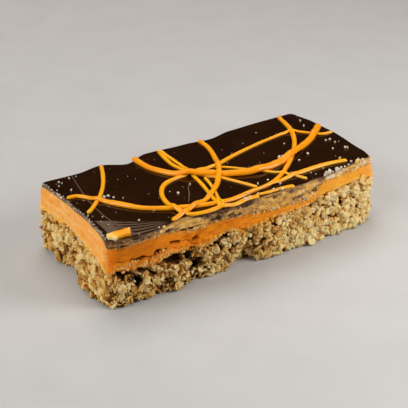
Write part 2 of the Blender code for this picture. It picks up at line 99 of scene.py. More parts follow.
# Heights of the layers' borders where they show round the sides, in mm.
ORANGE_LOW = {
    "front": ((-57.5, 11.6), (-55, 14.6), (-50, 14.3), (-43, 13.6), (-35, 14.6), (-27, 14.2),
              (-20, 13.9), (-14, 16.2), (-9, 16.6), (-5, 15.2), (3, 15.2), (12, 16.3), (26, 16.9),
              (31, 19.0), (45, 18.9), (50, 19.3), (57.5, 18.4)),
    "right": ((-25, 18.4), (-8, 18.6), (8, 19.4), (25, 18.8)),
    "back": ((-57.5, 16.4), (-30, 16.9), (-5, 18.2), (20, 18.0), (40, 19.2), (57.5, 18.8)),
    "left": ((-25, 11.6), (-22.5, 14.4), (-14, 14.9), (-6, 16.4), (2, 16.7), (10, 16.2),
             (18, 17.0), (25, 16.4)),
}
CHOCOLATE_LOW = {
    "front": ((-57.5, 22.6), (-55.5, 23.6), (-50, 24.1), (-43, 24.8), (-38, 24.5), (-34, 23.4),
              (-30, 22.2), (-25, 21.2), (-20, 22.3), (-15, 22.9), (-9, 22.8), (-4, 22.1),
              (3, 21.3), (8, 20.8), (13, 20.9), (18, 20.6), (24, 20.4), (27.5, 21.6),
              (30.5, 24.0), (34, 24.7), (50, 24.4), (57.5, 24.2)),
    "right": ((-25, 24.2), (0, 24.6), (25, 24.6)),
    "back": ((-57.5, 25.0), (-20, 23.8), (0, 24.6), (30, 23.9), (57.5, 24.6)),
    "left": ((-25, 22.6), (-23, 25.0), (-16, 25.8), (25, 25.8)),
}

# Hollows (minus) and lumps (plus) in the oat sides, in mm:
# side, place along it, height, half length, half height, how far in or out.
OAT_FORMS = (
    ("front", -51.5, 11.6, 4.0, 2.6, -2.4),
    ("front", -44.5, 11.9, 3.6, 2.4, -2.6),
    ("front", -33.5, 11.4, 7.0, 2.8, -3.2),
    ("front", -21.5, 5.0, 3.4, 5.0, -2.6),
    ("front", -14.0, 12.2, 4.0, 2.6, -2.2),
    ("front", -2.5, 2.5, 5.0, 4.0, -1.6),
    ("front", 33.0, 13.6, 4.5, 2.4, -1.8),
    ("front", 20.0, 8.5, 4.5, 2.2, -1.0),
    ("front", -40.0, 6.5, 8.0, 3.4, 0.9),
    ("front", 8.0, 8.0, 6.0, 3.6, 0.8),
    ("front", 44.0, 9.0, 8.0, 4.0, 0.6),
    ("left", -12.0, 7.5, 6.0, 4.0, 0.9),
    ("left", 0.5, 3.5, 3.5, 4.5, -1.8),
    ("left", 13.0, 8.0, 6.0, 4.0, 0.6),
    ("left", -19.0, 12.0, 3.4, 2.2, -1.4),
    ("back", -40.0, 11.0, 6.0, 3.2, -1.8),
    ("back", -8.0, 8.0, 7.0, 4.0, 0.8),
    ("back", 18.0, 12.0, 6.0, 3.0, -2.0),
    ("back", 40.0, 7.0, 7.0, 4.0, 0.7),
    ("right", -12.0, 9.0, 5.0, 4.0, -0.9),
    ("right", 10.0, 8.0, 7.0, 4.5, 0.8),
)

# Painted light along the front: how much paler or darker the oats are painted, as a step of tint.
OAT_PAINTED_LIGHT = ((-57, -0.06), (-52, -0.08), (-44, 0.02), (-40, 0.06), (-35, 0.0), (-24, 0.04),
             (-18, 0.12), (-8, 0.12), (0, 0.05), (7, 0.0), (13, 0.12), (20, 0.24), (27, 0.12),
             (33, 0.18), (57, 0.26))

# Painted shade, partly a stain: how much darker the oats are painted close under the
# filling along the front, as a step of tint.
OAT_SHADE_AND_STAIN = ((-14, 0.0), (-6, 0.12), (0, 0.24), (24, 0.24), (32, 0.12), (38, 0.0))

# Drizzle lines: widths in mm at even steps along the line, then its points on the top in mm.
DRIZZLE = (
    ((1.6, 1.5, 1.7),
     ((-32.5, 24.6), (-35.5, 17.8), (-39.5, 10.5), (-44.5, 3.6), (-50.5, -2.4), (-54, -5.2))),
    ((1.8, 2.6, 2.3, 1.9, 1.9, 1.9, 1.9, 2.0),
     ((-55.2, 8.6), (-51, 7.4), (-46.5, 0.9), (-41.5, -6.6), (-36, -13.2), (-27, -18.8),
      (-16.8, -22.7), (-7.1, -24.5), (2.6, -23.3), (10.7, -22.4), (18.4, -19.0), (25.7, -13.8),
      (33.5, -6.9), (41.4, 2.2), (46.8, 12), (50.2, 24.4))),
    ((1.1, 1.2, 1.4),
     ((-7.7, 2), (-2, 2), (4.8, -1.2), (11.3, -7.5), (17.4, -14.2), (22.6, -20.6), (25.4, -26.2))),
    ((1.6, 1.5, 1.5),
     ((-7.8, 24.2), (-9.3, 16), (-9.5, 8.4), (-6.4, -0.8), (0.2, -9.6), (4.7, -18.4),
      (6.2, -21.6))),
    ((1.5, 1.4, 1.6),
     ((-8.0, 22.6), (-7.3, 15), (-7.6, 4), (-9.2, -8.4), (-11.8, -20), (-13.2, -27))),
    ((1.2, 1.3, 1.2),
     ((-5.4, -4.8), (-7.2, -12.6), (-10.4, -21.4), (-12, -28.2))),
    ((2.0, 1.9, 0.9),
     ((47.5, -22.5), (40, -21.1), (31, -20.8), (22, -21.4), (13, -22.8), (4, -23.9),
      (-1.5, -24.2))),
    ((1.4, 1.8, 2.0),
     ((59.4, 0.7), (54, 1.5), (48.5, 7.6), (44, 10.1), (36, 9.4), (24, 7.1), (12.5, 4.1),
      (2.6, 0.9), (-6, 0.5), (-15, 0.3), (-21.6, -2.2), (-26, -8.6), (-27.5, -17),
      (-25.5, -24.8), (-20.5, -26.9), (-13.7, -27.2), (-8, -28.2), (-2.5, -27.2), (2.6, -27.8))),
    ((2.4, 3.6, 2.7),
     ((-19.2, 23.6), (-19.2, 18.4), (-18, 11.5), (-13.6, 3.6), (-6.5, -1.5), (3, -7.4),
      (13, -11), (22.5, -10.6), (31, -8), (40, -3.9), (48.5, 0.6), (58.6, 8.6))),
    ((2.0, 2.1, 2.0),
     ((10.2, 23), (9.9, 16.5), (7.6, 8.6), (3, -1.6), (-4.4, -11.4), (-12.4, -18.2),
      (-23, -22.4), (-32.4, -25.6))),
    ((1.8, 1.6, 1.3),
     ((18, -28.3), (13, -27.4), (6.4, -27), (2.2, -26.2))),
)

# The outline of the broken piece of drizzle near the left corner, in mm.
CHUNK_OUTLINE = ((-57.0, -24.6), (-56.4, -22.4), (-53.0, -22.6), (-47.9, -23.4), (-49.4, -26.8),
                 (-53.0, -26.2), (-55.2, -26.5))

# The fold line and the short mark in the chocolate: widths, then points on the top, in mm.
CHOCOLATE_LINES = (
    ((0.3, 0.34, 0.4),
     ((-45.3, 24), (-47.2, 15.1), (-49.2, 4), (-50.1, -6.8), (-50, -13), (-49.2, -20.5))),
    ((0.3, 0.45, 0.3),
     ((-12.6, -5.6), (-14.6, -8), (-17.2, -12.6), (-20.6, -17.4))),
)

# Deep pockets between the oats of the front, which the oats' tint also paints darker as
# painted shade, in mm:
# place, height, half length, half height, depth.
POCKETS = (
    (-51.9, 12.1, 2.8, 1.7, 3.6), (-44.4, 12.4, 2.7, 1.7, 4.0), (-40.5, 13.2, 1.8, 1.0, 2.6),
    (-36.8, 12.5, 3.2, 1.6, 4.0), (-31.5, 10.9, 2.5, 1.7, 3.6), (-33.5, 13.4, 2.4, 1.0, 2.6),
    (-27.5, 12.0, 1.8, 1.0, 2.8), (-47.5, 8.5, 1.4, 1.0, 2.2), (-41.0, 9.0, 1.3, 1.0, 2.0),
    (-22.0, 4.6, 1.0, 1.9, 2.4), (-15.2, 11.9, 2.0, 1.3, 3.0), (-10.5, 14.2, 1.6, 0.9, 2.2),
    (-5.3, 13.6, 1.4, 0.9, 2.0), (33.7, 12.9, 1.5, 1.1, 2.0), (21.8, 13.6, 1.3, 0.9, 1.6),
    (37.4, 8.4, 1.2, 0.8, 1.5), (48.6, 9.3, 1.2, 0.8, 1.5), (8.1, 10.2, 1.5, 1.0, 1.8),
    (15.2, 4.5, 2.6, 0.5, 1.8), (-48.0, 7.0, 1.1, 0.9, 1.4), (26.0, 7.5, 1.2, 0.8, 1.4),
    (0.8, 10.6, 1.9, 1.1, 1.7), (4.6, 8.8, 1.5, 1.3, 1.5), (28.3, 11.8, 1.6, 1.2, 1.6),
    (31.6, 9.4, 0.9, 1.5, 1.5), (42.8, 12.4, 1.3, 1.0, 1.5), (-15.8, 7.6, 1.4, 1.2, 2.0),
    (10.8, 12.8, 1.6, 0.8, 1.6), (51.6, 12.6, 1.0, 1.4, 1.4), (45.8, 5.2, 1.1, 1.0, 1.3),
)

# The cracks in the filling's front, in mm: height at each place, then the share that is open.
CRACK_RUNS = (
    (((-57.6, 18.1), (-54.5, 18.0), (-50.5, 17.1), (-48.5, 17.2)), 0.65),
    (((-49.5, 17.1), (-46.2, 17.4), (-44.3, 17.5), (-42.5, 16.9), (-40.2, 17.4), (-38.3, 17.5),
      (-35.8, 17.3)), 1.0),
    (((-35.9, 19.6), (-33.3, 18.8), (-31.1, 18.3), (-28.3, 18.2), (-25.9, 17.3),
      (-22.6, 17.7)), 0.62),
)

# The tint of the smears on the chocolate's front side along the bar (0 dark chocolate, 0.15
# brown, 0.27 dull brown, 0.47 orange, 0.58 bright orange, 0.75 cream, 1 white), and how thickly
# crumbs lie on it.
SMEAR_TINT = ((-57, 0.06), (-50, 0.13), (-42, 0.18), (-38, 0.24), (-34, 0.38), (-26, 0.58),
              (-19, 0.46), (-14, 0.33), (-9, 0.40), (-4, 0.42), (0, 0.38), (6, 0.55), (12, 0.54),
              (16, 0.40), (22, 0.52), (26, 0.50), (28.5, 0.22), (31, 0.30), (34, 0.66), (40, 0.66),
              (44, 0.42), (49, 0.56), (57, 0.72))
SMEAR_CRUMBS = ((-57, 0.3), (-50, 0.15), (-38, 0.2), (-32, 0.45), (20, 0.5), (27, 0.8), (57, 0.9))

# Patches dragged over the chocolate's front side, in mm: place, height, half length, half
# height, rise per mm along, tint on the same scale, and how far they stand out. The dark
# lines along the top of the side from -18 to 9 are partly bare chocolate and partly painted
# shadow of the drizzle over the edge.
PATCHES = (
    (-57.0, 25.9, 1.6, 0.8, 0.0, 0.0, -0.6), (-56.6, 24.2, 0.9, 0.5, 0.0, 0.16, 0.2),
    (-52.0, 25.0, 2.6, 0.2, 0.0, 0.26, 0.1), (-48.0, 24.4, 3.0, 0.3, 0.1, 0.44, 0.1),
    (-43.0, 24.5, 5.5, 0.5, 0.0, 0.48, 0.15), (-38.0, 25.2, 2.2, 0.5, 0.0, 0.42, 0.1),
    (-38.9, 25.9, 0.6, 0.5, 0.0, 1.0, 0.5),
    (-35.2, 25.6, 1.6, 0.45, 0.05, 0.72, 0.4), (-35.5, 24.6, 1.7, 0.45, 0.1, 0.06, -0.2),
    (-31.5, 23.6, 1.5, 0.7, 0.0, 0.22, 0.1), (-26.5, 24.2, 4.2, 1.15, 0.03, 0.64, 0.55),
    (-26.5, 22.4, 5.0, 0.35, 0.08, 0.02, -0.35), (-20.0, 25.2, 1.8, 0.9, 0.0, 0.30, 0.3),
    (-16.5, 24.2, 2.4, 1.1, 0.0, 0.14, 0.1), (-13.0, 25.2, 1.5, 0.8, 0.0, 0.40, 0.35),
    # The dark lines at -18, -4 and 9 along the top edge: partly bare chocolate, partly painted shadow.
    (-10.6, 24.0, 1.6, 0.9, 0.0, 0.10, -0.1), (-18.0, 26.1, 8.0, 0.55, 0.0, 0.04, -0.1),
    (-4.0, 26.0, 6.0, 0.60, -0.02, 0.04, -0.1), (9.0, 25.9, 6.0, 0.35, 0.0, 0.12, 0.0),
    (-3.0, 24.2, 2.6, 0.9, 0.0, 0.44, 0.25), (2.0, 24.8, 2.2, 0.9, 0.0, 0.30, 0.3),
    (6.0, 23.6, 2.4, 1.0, 0.0, 0.52, 0.35), (9.0, 25.0, 1.3, 0.7, 0.0, 0.12, -0.2),
    (12.3, 25.6, 1.0, 0.8, 0.0, 0.70, 0.6), (13.6, 23.4, 1.6, 0.8, 0.0, 0.34, 0.2),
    (18.0, 25.4, 4.0, 0.8, 0.0, 0.22, 0.0), (19.5, 22.3, 3.2, 0.8, 0.1, 0.22, -0.1),
    (22.5, 24.1, 6.5, 0.42, 0.11, 0.68, 0.3), (27.5, 23.0, 3.6, 0.8, 0.1, 0.22, -0.1),
    (34.4, 25.9, 2.2, 0.8, 0.0, 0.90, 0.4), (39.0, 25.9, 1.8, 0.7, 0.0, 0.90, 0.4),
    (42.6, 25.9, 1.6, 0.5, 0.0, 0.80, 0.3),
    (48.4, 25.7, 1.1, 0.8, 0.0, 0.76, 0.7), (52.5, 25.6, 2.0, 0.6, 0.0, 0.84, 0.3),
)

# Pale crumbs on the top, in mm: place along, place across, size.
CRUMBS = (
    (-51.8, 21.2, 0.8), (-53.2, 18.4, 0.7), (-51.2, 19.9, 0.6), (-48, 24.2, 0.8), (-47.3, 22.1, 0.8),
    (-51, 13.2, 0.9), (-44.4, 22.1, 0.6), (-55.2, 16, 0.5), (-56.2, 12.2, 0.9), (-56.6, 9.9, 1.0),
    (-55.5, 10.6, 0.7), (-54.7, -6.6, 0.6), (-53.8, -8.1, 0.6), (-51.1, -10.3, 0.7), (-51.9, -16, 0.6),
    (-43.7, 2, 1.4), (-42.2, 1.8, 1.2), (-41, -0.1, 0.8), (-38.3, -2.1, 0.6), (-41.9, -19.3, 0.7),
    (-38.9, -27.4, 0.9), (-20.2, -9.9, 1.0), (-12.9, -6.4, 0.7), (-33.9, -16, 0.6), (-46.5, -27.2, 0.5),
    (32.6, -27.6, 1.3), (33.6, -27.1, 1.6), (34.7, -27.5, 1.7), (34.4, -26.3, 1.3), (35.7, -26.6, 1.6),
    (36.3, -25.6, 1.2), (36.5, -27.1, 1.2), (38.4, -27.2, 1.6), (39.3, -26.4, 1.5), (39.9, -27.0, 1.1),
    (41.5, -26.4, 1.0), (43.1, -26.3, 1.1), (45.4, -25.9, 1.0), (47.9, -24.3, 1.0), (51.6, -24, 0.9),
    (53.9, -13.6, 1.3), (49.7, -11.4, 0.8), (38.6, -9.9, 1.1), (32.3, -12.5, 0.9), (27.5, -6.3, 0.8),
    (29.5, -23.3, 0.7), (30.5, -25, 0.7), (23.6, -18.9, 0.6), (14.8, -23.8, 0.9), (7.9, -19.7, 0.8),
    (12.8, -19.1, 0.9), (12.4, -28.2, 1.5), (35.6, -22.8, 0.8), (33.3, -27.4, 0.8), (40.3, -26.6, 0.9),
    (53.9, -7.6, 0.9), (54, -4.3, 0.9), (52.1, -4.2, 0.8), (53.5, 11.6, 0.8), (55.4, 16.4, 0.8),
    (33.4, 16.8, 0.6), (36.5, 2.4, 0.6), (-12.6, -5.9, 0.5), (8.5, -18.9, 0.7), (-33.4, -15.8, 0.5),
)
GOLDEN_CRUMBS = ((49.2, -26.2, 2.2), (50.6, -25.9, 1.5), (54.6, -14.1, 1.3), (46.3, -19.7, 0.9),
                 (-37.2, -28.1, 1.2))

# Crumbs stuck on the drizzle, in mm: place along, place across, size, height over the chocolate.
STUCK_CRUMBS = (
    (-13.2, -27.5, 0.9, 0.8), (-11.6, -28.0, 0.8, 0.7), (-10.2, -28.2, 0.6, 0.8),
    (-3.2, -27.7, 1.2, 0.7), (-1.4, -27.6, 0.9, 0.8), (2.9, -26.7, 0.7, 0.7),
    (9.3, -27.3, 1.0, 0.7), (25.6, -8.9, 1.3, 1.5), (27.4, -8.6, 1.0, 1.5),
)

# Left of this place the filling's front is rough with crumbs.
ROUGH_LEFT = -34 * MM

# Where the front edge is frosted with pale crumbs: on its side and on the top.
FROSTED_SIDE = (31.5 * MM, 44.5 * MM)
FROSTED_TOP = (31 * MM, 49 * MM)

# One start for each piece's random draws.
OATS_SEED, BITS_SEED, SMEAR_SEED, CRUMBS_SEED = 5, 9, 13, 17


def read_table(table, places):
    """A table of (place, value) pairs in mm read at places in metres: between two pairs the
    value eases from one to the other as 3s squared minus 2s cubed."""
    stations = np.array([pair[0] for pair in table]) * MM
    values = np.array([pair[1] for pair in table]) * MM
    places = np.clip(places, stations[0], stations[-1])
    index = np.clip(np.searchsorted(stations, places) - 1, 0, len(stations) - 2)
    share = (places - stations[index]) / (stations[index + 1] - stations[index])
    eased = share * share * (3 - 2 * share)
    return values[index] * (1 - eased) + values[index + 1] * eased


def read_share(table, places):
    """A table of plain shares, not lengths, read the same way."""
    return read_table(table, places) / MM


def bell(distance):
    """A bump of height 1 that falls off as the square of the distance grows."""
    return np.exp(-distance ** 2)


def between(values, low, high):
    """0 at low and 1 at high, straight between the two and held outside them."""
    return np.clip((values - low) / (high - low), 0, 1)


class Bar:
    """Columns round the bar: a rounded rectangle walked at an even step, counter-clockwise from
    above, with each column's outward direction, its share of the four sides (the square of how
    far it faces that way), and how far the layers stand out and where their borders run there."""

    def __init__(self, step):
        straight = np.array([LENGTH, WIDTH, LENGTH, WIDTH]) - 2 * CORNER_RADIUS
        starts = np.concatenate([[0], np.cumsum(straight + CORNER_RADIUS * math.pi / 2)])
        self.count = int(round(starts[-1] / step))
        travel = np.arange(self.count) * starts[-1] / self.count
        side = np.clip(np.searchsorted(starts, travel, side="right") - 1, 0, 3)
        along = travel - starts[side]
        angle = np.radians(90 * side - 90) + np.maximum(along - straight[side], 0) / CORNER_RADIUS
        self.outward = np.column_stack([np.cos(angle), np.sin(angle)])
        half = np.array([LENGTH, WIDTH]) / 2 - CORNER_RADIUS
        corners = np.array([[-1, -1], [1, -1], [1, 1], [-1, 1]]) * half
        heading = np.array([[1, 0], [0, 1], [-1, 0], [0, -1]])
        run = np.minimum(along, straight[side])[:, None]
        self.points = corners[side] + heading[side] * run + CORNER_RADIUS * self.outward
        self.flat = np.column_stack([self.points, np.zeros(self.count)])
        x, y = self.outward.T
        facing = {"front": -y, "right": x, "back": y, "left": -x}
        self.share = {name: np.clip(value, 0, 1) ** 2 for name, value in facing.items()}
        self.along = {name: self.points[:, 0 if name in ("front", "back") else 1] for name in facing}
        self.foot, self.orange, self.top = self.read(FOOT), self.read(ORANGE), self.read(TOP)
        self.orange_low, self.chocolate_low = self.read(ORANGE_LOW), self.read(CHOCOLATE_LOW)

    def read(self, tables):
        """One value for each column from the four sides' tables, shared out at the corners."""
        return sum(self.share[name] * read_table(tables[name], self.along[name]) for name in tables)

    def ring(self, offset, height):
        """The outline moved outwards by offset, at a height."""
        flat = self.points + self.outward * np.broadcast_to(offset, self.count)[:, None]
        return np.column_stack([flat, np.broadcast_to(height, self.count)])

    def spots(self, column, away, height):
        """Places at chosen columns, moved outwards by away, at a height."""
        return np.column_stack([self.points[column] + self.outward[column] * away[:, None], height])

    def facing(self, column):
        """The level outward directions at chosen columns."""
        return np.column_stack([self.outward[column], np.zeros(len(column))])

    def push(self, rings, amount):
        """Move stacked rings outwards by an amount for each row and column."""
        rings[:, :, :2] += self.outward[None] * amount[:, :, None]

    def oat_side(self, height, column):
        """How far the oat side stands out at a height: from the foot to the filling's shoulder,
        with each hollow or lump added as a bell in both directions."""
        rise = between(height, 0, self.orange_low[column] - 1 * MM)
        offset = self.foot[column] * (1 - rise) + (self.orange[column] - 0.9 * MM) * rise
        for side, place, level, half_length, half_height, amount in OAT_FORMS:
            along = (self.along[side][column] / MM - place) / half_length
            up = (height / MM - level) / half_height
            offset = offset + self.share[side][column] * amount * MM * bell(along) * bell(up)
        return offset

    def pocket(self, height, column):
        """Depth of the pockets between the oats, which the oats' tint paints darker as painted
        shade: the deepest of the listed ones on the front, as bells in both directions, and of
        others wherever noise peaks."""
        x = self.along["front"][column] / MM
        front = self.share["front"][column]
        depth = np.zeros(np.shape(height))
        for place, level, half_length, half_height, amount in POCKETS:
            near = bell((x - place) / half_length) * bell((height / MM - level) / half_height)
            depth = np.maximum(depth, front * amount * MM * np.clip(1.5 * near - 0.2, 0, 1))
        spots = np.column_stack([self.points[column], np.broadcast_to(height, np.shape(x))])
        loose = np.clip(value_noise(spots, 4.5 * MM, 301) - 0.42, 0, 1) * 3.5 * MM
        sparse = 0.55 - 0.40 * self.craggy_share(column)
        small = np.clip(value_noise(spots, 2.6 * MM, 307) - sparse, 0, 1) * 4.0 * MM
        return np.maximum(depth, (1 - front) * loose + front * small)

    def craggy_share(self, column):
        """How open and broken the oats are: most at the front's left, falling straight to
        nothing at its right, and a quarter on the other sides."""
        front = self.share["front"][column]
        return front * between(self.points[column, 0], 14 * MM, -28 * MM) + 0.25 * (1 - front)


def hashed(cells, seed):
    """A repeatable draw from 0 to 1 for each row of whole numbers, by integer mixing."""
    cells = cells.astype(np.int64)
    mixed = (cells[..., 0] * 73856093) ^ (cells[..., 1] * 19349663) ^ (cells[..., 2] * 83492791)
    mixed = (mixed ^ (seed * 2654435761)) & 0xFFFFFFFF
    mixed = ((mixed ^ (mixed >> 15)) * 2246822519) & 0xFFFFFFFF
    mixed = ((mixed ^ (mixed >> 13)) * 3266489917) & 0xFFFFFFFF
    return ((mixed ^ (mixed >> 16)) & 0xFFFFFFFF) / 0xFFFFFFFF


def value_noise(points, size, seed):
    """Smooth noise from -1 to 1: draws at the corners of cubes of that size, blended between
    them with an eased weight in each direction. The seed only keeps one pattern apart from the
    next, here and in the other two kinds of noise."""
    scaled = points / size
    base = np.floor(scaled).astype(np.int64)
    share = scaled - base
    share = share * share * (3 - 2 * share)
    total = 0
    for corner in np.ndindex(2, 2, 2):
        weight = np.prod(np.where(np.array(corner), share, 1 - share), axis=-1)
        total = total + weight * hashed(base + np.array(corner), seed)
    return 2 * total - 1


def layered_noise(points, size, seed, layers=3, roughness=0.5):
    """Value noise summed over layers, each half the size of the last and roughness as strong."""
    strengths = roughness ** np.arange(layers)
    total = sum(strength * value_noise(points, size / 2 ** layer, seed + layer)
                for layer, strength in enumerate(strengths))
    return total / strengths.sum()


def pebble_noise(points, size, seed):
    """Rounded lumps from 0 in the seams to 1 on the tops: one jittered centre in each cube of
    that size, and the height falls with the square of the distance to the nearest centre."""
    scaled = points / size
    base = np.floor(scaled).astype(np.int64)
    nearest = np.full(len(points), 9.0)
    for shift in np.ndindex(3, 3, 3):
        cell = base + np.array(shift) - 1
        jitter = np.stack([hashed(cell, seed + axis) for axis in range(3)], axis=-1) - 0.5
        nearest = np.minimum(nearest, np.sum((scaled - cell - 0.5 - 0.8 * jitter) ** 2, axis=-1))
    return np.clip(1 - nearest / 0.8, 0, 1)


def inside(values, limits):
    """True where a value lies between two limits."""
    return (values > limits[0]) & (values < limits[1])


def new_object(name, vertices, faces, smooth=True):
    """A mesh object from arrays of vertices and of faces with one number of sides."""
    mesh = bpy.data.meshes.new(name)
    sides = faces.shape[1]
    mesh.vertices.add(len(vertices))
    mesh.vertices.foreach_set("co", vertices.astype(np.float32).ravel())
    mesh.loops.add(faces.size)
    mesh.loops.foreach_set("vertex_index", faces.astype(np.int32).ravel())
    mesh.polygons.add(len(faces))
    mesh.polygons.foreach_set("loop_start", np.arange(0, faces.size, sides, dtype=np.int32))
    mesh.polygons.foreach_set("use_smooth", np.full(len(faces), smooth))
    mesh.update(calc_edges=True)
    thing = bpy.data.objects.new(name, mesh)
    bpy.context.scene.collection.objects.link(thing)
    return thing


def add_attribute(thing, name, values):
    """A number for each vertex, which the materials read by name."""
    attribute = thing.data.attributes.new(name, "FLOAT", "POINT")
    attribute.data.foreach_set("value", np.asarray(values, np.float32).ravel())


def declare(piece, look, node=None):
    """Give a piece its finish and its body, and hide the node that it stands for."""
    piece.data.materials.append(look.material)
    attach(piece, ROOT)
    if node:
        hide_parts(node)


def ring_faces(rows, columns, first=0):
    """Triangles of a grid of rows that closes round its columns, facing away from the middle
    when the rows rise and the columns run counter-clockwise."""
    start = first + np.arange(rows - 1)[:, None] * columns
    low = (start + np.arange(columns)).ravel()
    turn = (start + (np.arange(columns) + 1) % columns).ravel()
    return np.vstack([np.column_stack([low, turn, turn + columns]),
                      np.column_stack([low, turn + columns, low + columns])])


def pole_faces(ring_start, columns, pole, upwards):
    """Triangles from a closed ring of vertices to one pole."""
    here = ring_start + np.arange(columns)
    after = ring_start + (np.arange(columns) + 1) % columns
    pair = (here, after) if upwards else (after, here)
    return np.column_stack([*pair, np.full(columns, pole)])


def rings_with_poles(rings, first=0):
    """Vertices and triangles of stacked rings (row, column, xyz) closed by a pole at each end."""
    rows, columns, _ = rings.shape
    poles = np.stack([rings[0].mean(axis=0), rings[-1].mean(axis=0)])
    last = first + rows * columns
    faces = np.vstack([ring_faces(rows, columns, first), pole_faces(first, columns, last, False),
                       pole_faces(last - columns, columns, last + 1, True)])
    return np.vstack([rings.reshape(-1, 3), poles]), faces


def drawn_in(ring, scale, height):
    """A ring made smaller about the middle, at a height."""
    return np.column_stack([ring[:, :2] * scale, np.broadcast_to(height, len(ring))])


def joined(name, cords, tints):
    """Cords of rings as one object, each closed by two poles, with a tint for each ring."""
    vertices, faces, shades, first = [], [], [], 0
    for rings, tint in zip(cords, tints):
        points, triangles = rings_with_poles(rings, first)
        vertices.append(points)
        faces.append(triangles)
        shades.append(np.concatenate([np.repeat(tint, rings.shape[1]), tint[[0, -1]]]))
        first += len(points)
    thing = new_object(name, np.vstack(vertices), np.vstack(faces))
    add_attribute(thing, "tint", np.concatenate(shades))
    return thing


class Finish:
    """A procedural material: short names for the nodes it is made of."""

    def __init__(self, name):
        self.material = bpy.data.materials.new(name)
        self.material.use_nodes = True
        self.nodes = self.material.node_tree.nodes
        self.links = self.material.node_tree.links
        self.shader = self.nodes["Principled BSDF"]
        self.coordinates = self.nodes.new("ShaderNodeTexCoord").outputs["Object"]

    def feed(self, socket, value):
        """Set an input, or link another node's output to it."""
        if isinstance(value, bpy.types.NodeSocket):
            self.links.new(value, socket)
        elif hasattr(value, "__len__") and len(value) == 3 and socket.type == "RGBA":
            socket.default_value = (*value, 1)
        else:
            socket.default_value = value

    def put(self, kind, values, **settings):
        """A node with its settings and inputs."""
        node = self.nodes.new(kind)
        for key, value in settings.items():
            setattr(node, key, value)
        for key, value in values.items():
            self.feed(node.inputs[key], value)
        return node

    def noise(self, size, detail=4.0, roughness=0.55, stretch=(1, 1, 1)):
        """Noise with features of about that size in metres, longer along the axes whose stretch
        is under 1."""
        place = self.put("ShaderNodeMapping", {"Vector": self.coordinates, "Scale": stretch}).outputs[0]
        return self.put("ShaderNodeTexNoise", {"Vector": place, "Scale": 1 / size, "Detail": detail,
                                               "Roughness": roughness}).outputs["Fac"]

    def pieces(self, size, warp=0.5):
        """Uneven pieces of about that size in metres: a random number for each, and the
        distance from its middle as a share of the size."""
        shift = self.put("ShaderNodeTexNoise", {"Vector": self.coordinates, "Scale": 1 / size})
        place = self.put("ShaderNodeVectorMath", {0: shift.outputs["Color"], 1: (size * warp,) * 3,
                                                  2: self.coordinates},
                         operation="MULTIPLY_ADD").outputs[0]
        cells = self.put("ShaderNodeTexVoronoi", {"Vector": place, "Scale": 1 / size})
        draw = self.put("ShaderNodeSeparateColor", {"Color": cells.outputs["Color"]}).outputs[0]
        return draw, cells.outputs["Distance"]

    def attribute(self, name):
        """A number kept on the vertices."""
        return self.put("ShaderNodeAttribute", {}, attribute_name=name).outputs["Fac"]

    def ramp(self, factor, *stops):
        """Colours laid along a factor from 0 to 1."""
        node = self.put("ShaderNodeValToRGB", {"Fac": factor})
        elements = node.color_ramp.elements
        while len(elements) < len(stops):
            elements.new(0.5)
        for element, (place, colour) in zip(elements, stops):
            element.position = place
            element.color = (*colour, 1)
        return node.outputs["Color"]

    def span(self, value, low, high, to_low=0.0, to_high=1.0):
        """A value mapped from one range to another and held inside it."""
        return self.put("ShaderNodeMapRange", {"Value": value, "From Min": low, "From Max": high,
                                               "To Min": to_low, "To Max": to_high}).outputs[0]

    def sum(self, first, second):
        """Two numbers added."""
        return self.put("ShaderNodeMath", {0: first, 1: second}, operation="ADD").outputs[0]

    def product(self, first, second):
        """Two numbers multiplied."""
        return self.put("ShaderNodeMath", {0: first, 1: second}, operation="MULTIPLY").outputs[0]

    def tint(self, *grains):
        """The vertices' tint, shifted by each grain of noise up to its amount either way."""
        total = self.attribute("tint")
        for grain, amount in grains:
            total = self.sum(total, self.span(grain, 0.3, 0.7, -amount, amount))
        return total

    def mix(self, factor, first, second):
        """Two colours mixed by a factor."""
        node = self.put("ShaderNodeMix", {0: factor, 6: first, 7: second}, data_type="RGBA")
        return node.outputs[2]

    def over(self, base, name, grain, low, high, colour):
        """A colour laid over the base where an attribute and a grain of noise both allow it, the
        grain between its low and high."""
        return self.mix(self.product(self.attribute(name), self.span(grain, low, high)), base, colour)

    def bump(self, height, distance, before=None):
        """Relief finer than the mesh, its full height given in metres."""
        values = {"Height": height, "Distance": distance}
        if before is not None:
            values["Normal"] = before
        return self.put("ShaderNodeBump", values).outputs["Normal"]

    def set(self, **values):
        """The shader's sockets, by name with an underscore for each space."""
        for key, value in values.items():
            self.feed(self.shader.inputs[key.replace("_", " ")], value)
        return self


class FlapjackSizes(bpy.types.PropertyGroup):
    """Sizes that a user would change."""

    flake_length: bpy.props.FloatProperty(
        name="Flake length", description="Length of an average rolled oat flake",
        default=0.0030, min=0.001, unit="LENGTH")
    flake_count: bpy.props.IntProperty(
        name="Flakes", description="Whole flakes round the sides", default=1850, min=10, max=1900)
    bit_count: bpy.props.IntProperty(
        name="Broken flakes", description="Small broken pieces between the flakes",
        default=4200, min=10, max=4700)
    drizzle_height: bpy.props.FloatProperty(
        name="Drizzle height", description="Height of a drizzle line as a share of its width",
        default=0.52, min=0.1, max=1.0, subtype="FACTOR")
    dust_count: bpy.props.IntProperty(
        name="Fine crumbs", description="Fine pale crumbs scattered on the chocolate",
        default=90, min=0)


class FlapjackColours(bpy.types.PropertyGroup):
    """Colours that a user would change."""

    oat: bpy.props.FloatVectorProperty(
        name="Oats", description="Colour of the baked flakes", subtype="COLOR",
        default=(0.67, 0.385, 0.105), min=0, max=1)
    orange: bpy.props.FloatVectorProperty(
        name="Orange filling", description="Colour of the filling's cut front", subtype="COLOR",
        default=(0.87, 0.25, 0.004), min=0, max=1)
    chocolate: bpy.props.FloatVectorProperty(
        name="Chocolate", description="Colour of the dark chocolate", subtype="COLOR",
        default=(0.0155, 0.0045, 0.0008), min=0, max=1)
    drizzle: bpy.props.FloatVectorProperty(
        name="Drizzle", description="Colour of the orange drizzle", subtype="COLOR",
        default=(1.0, 0.415, 0.003), min=0, max=1)


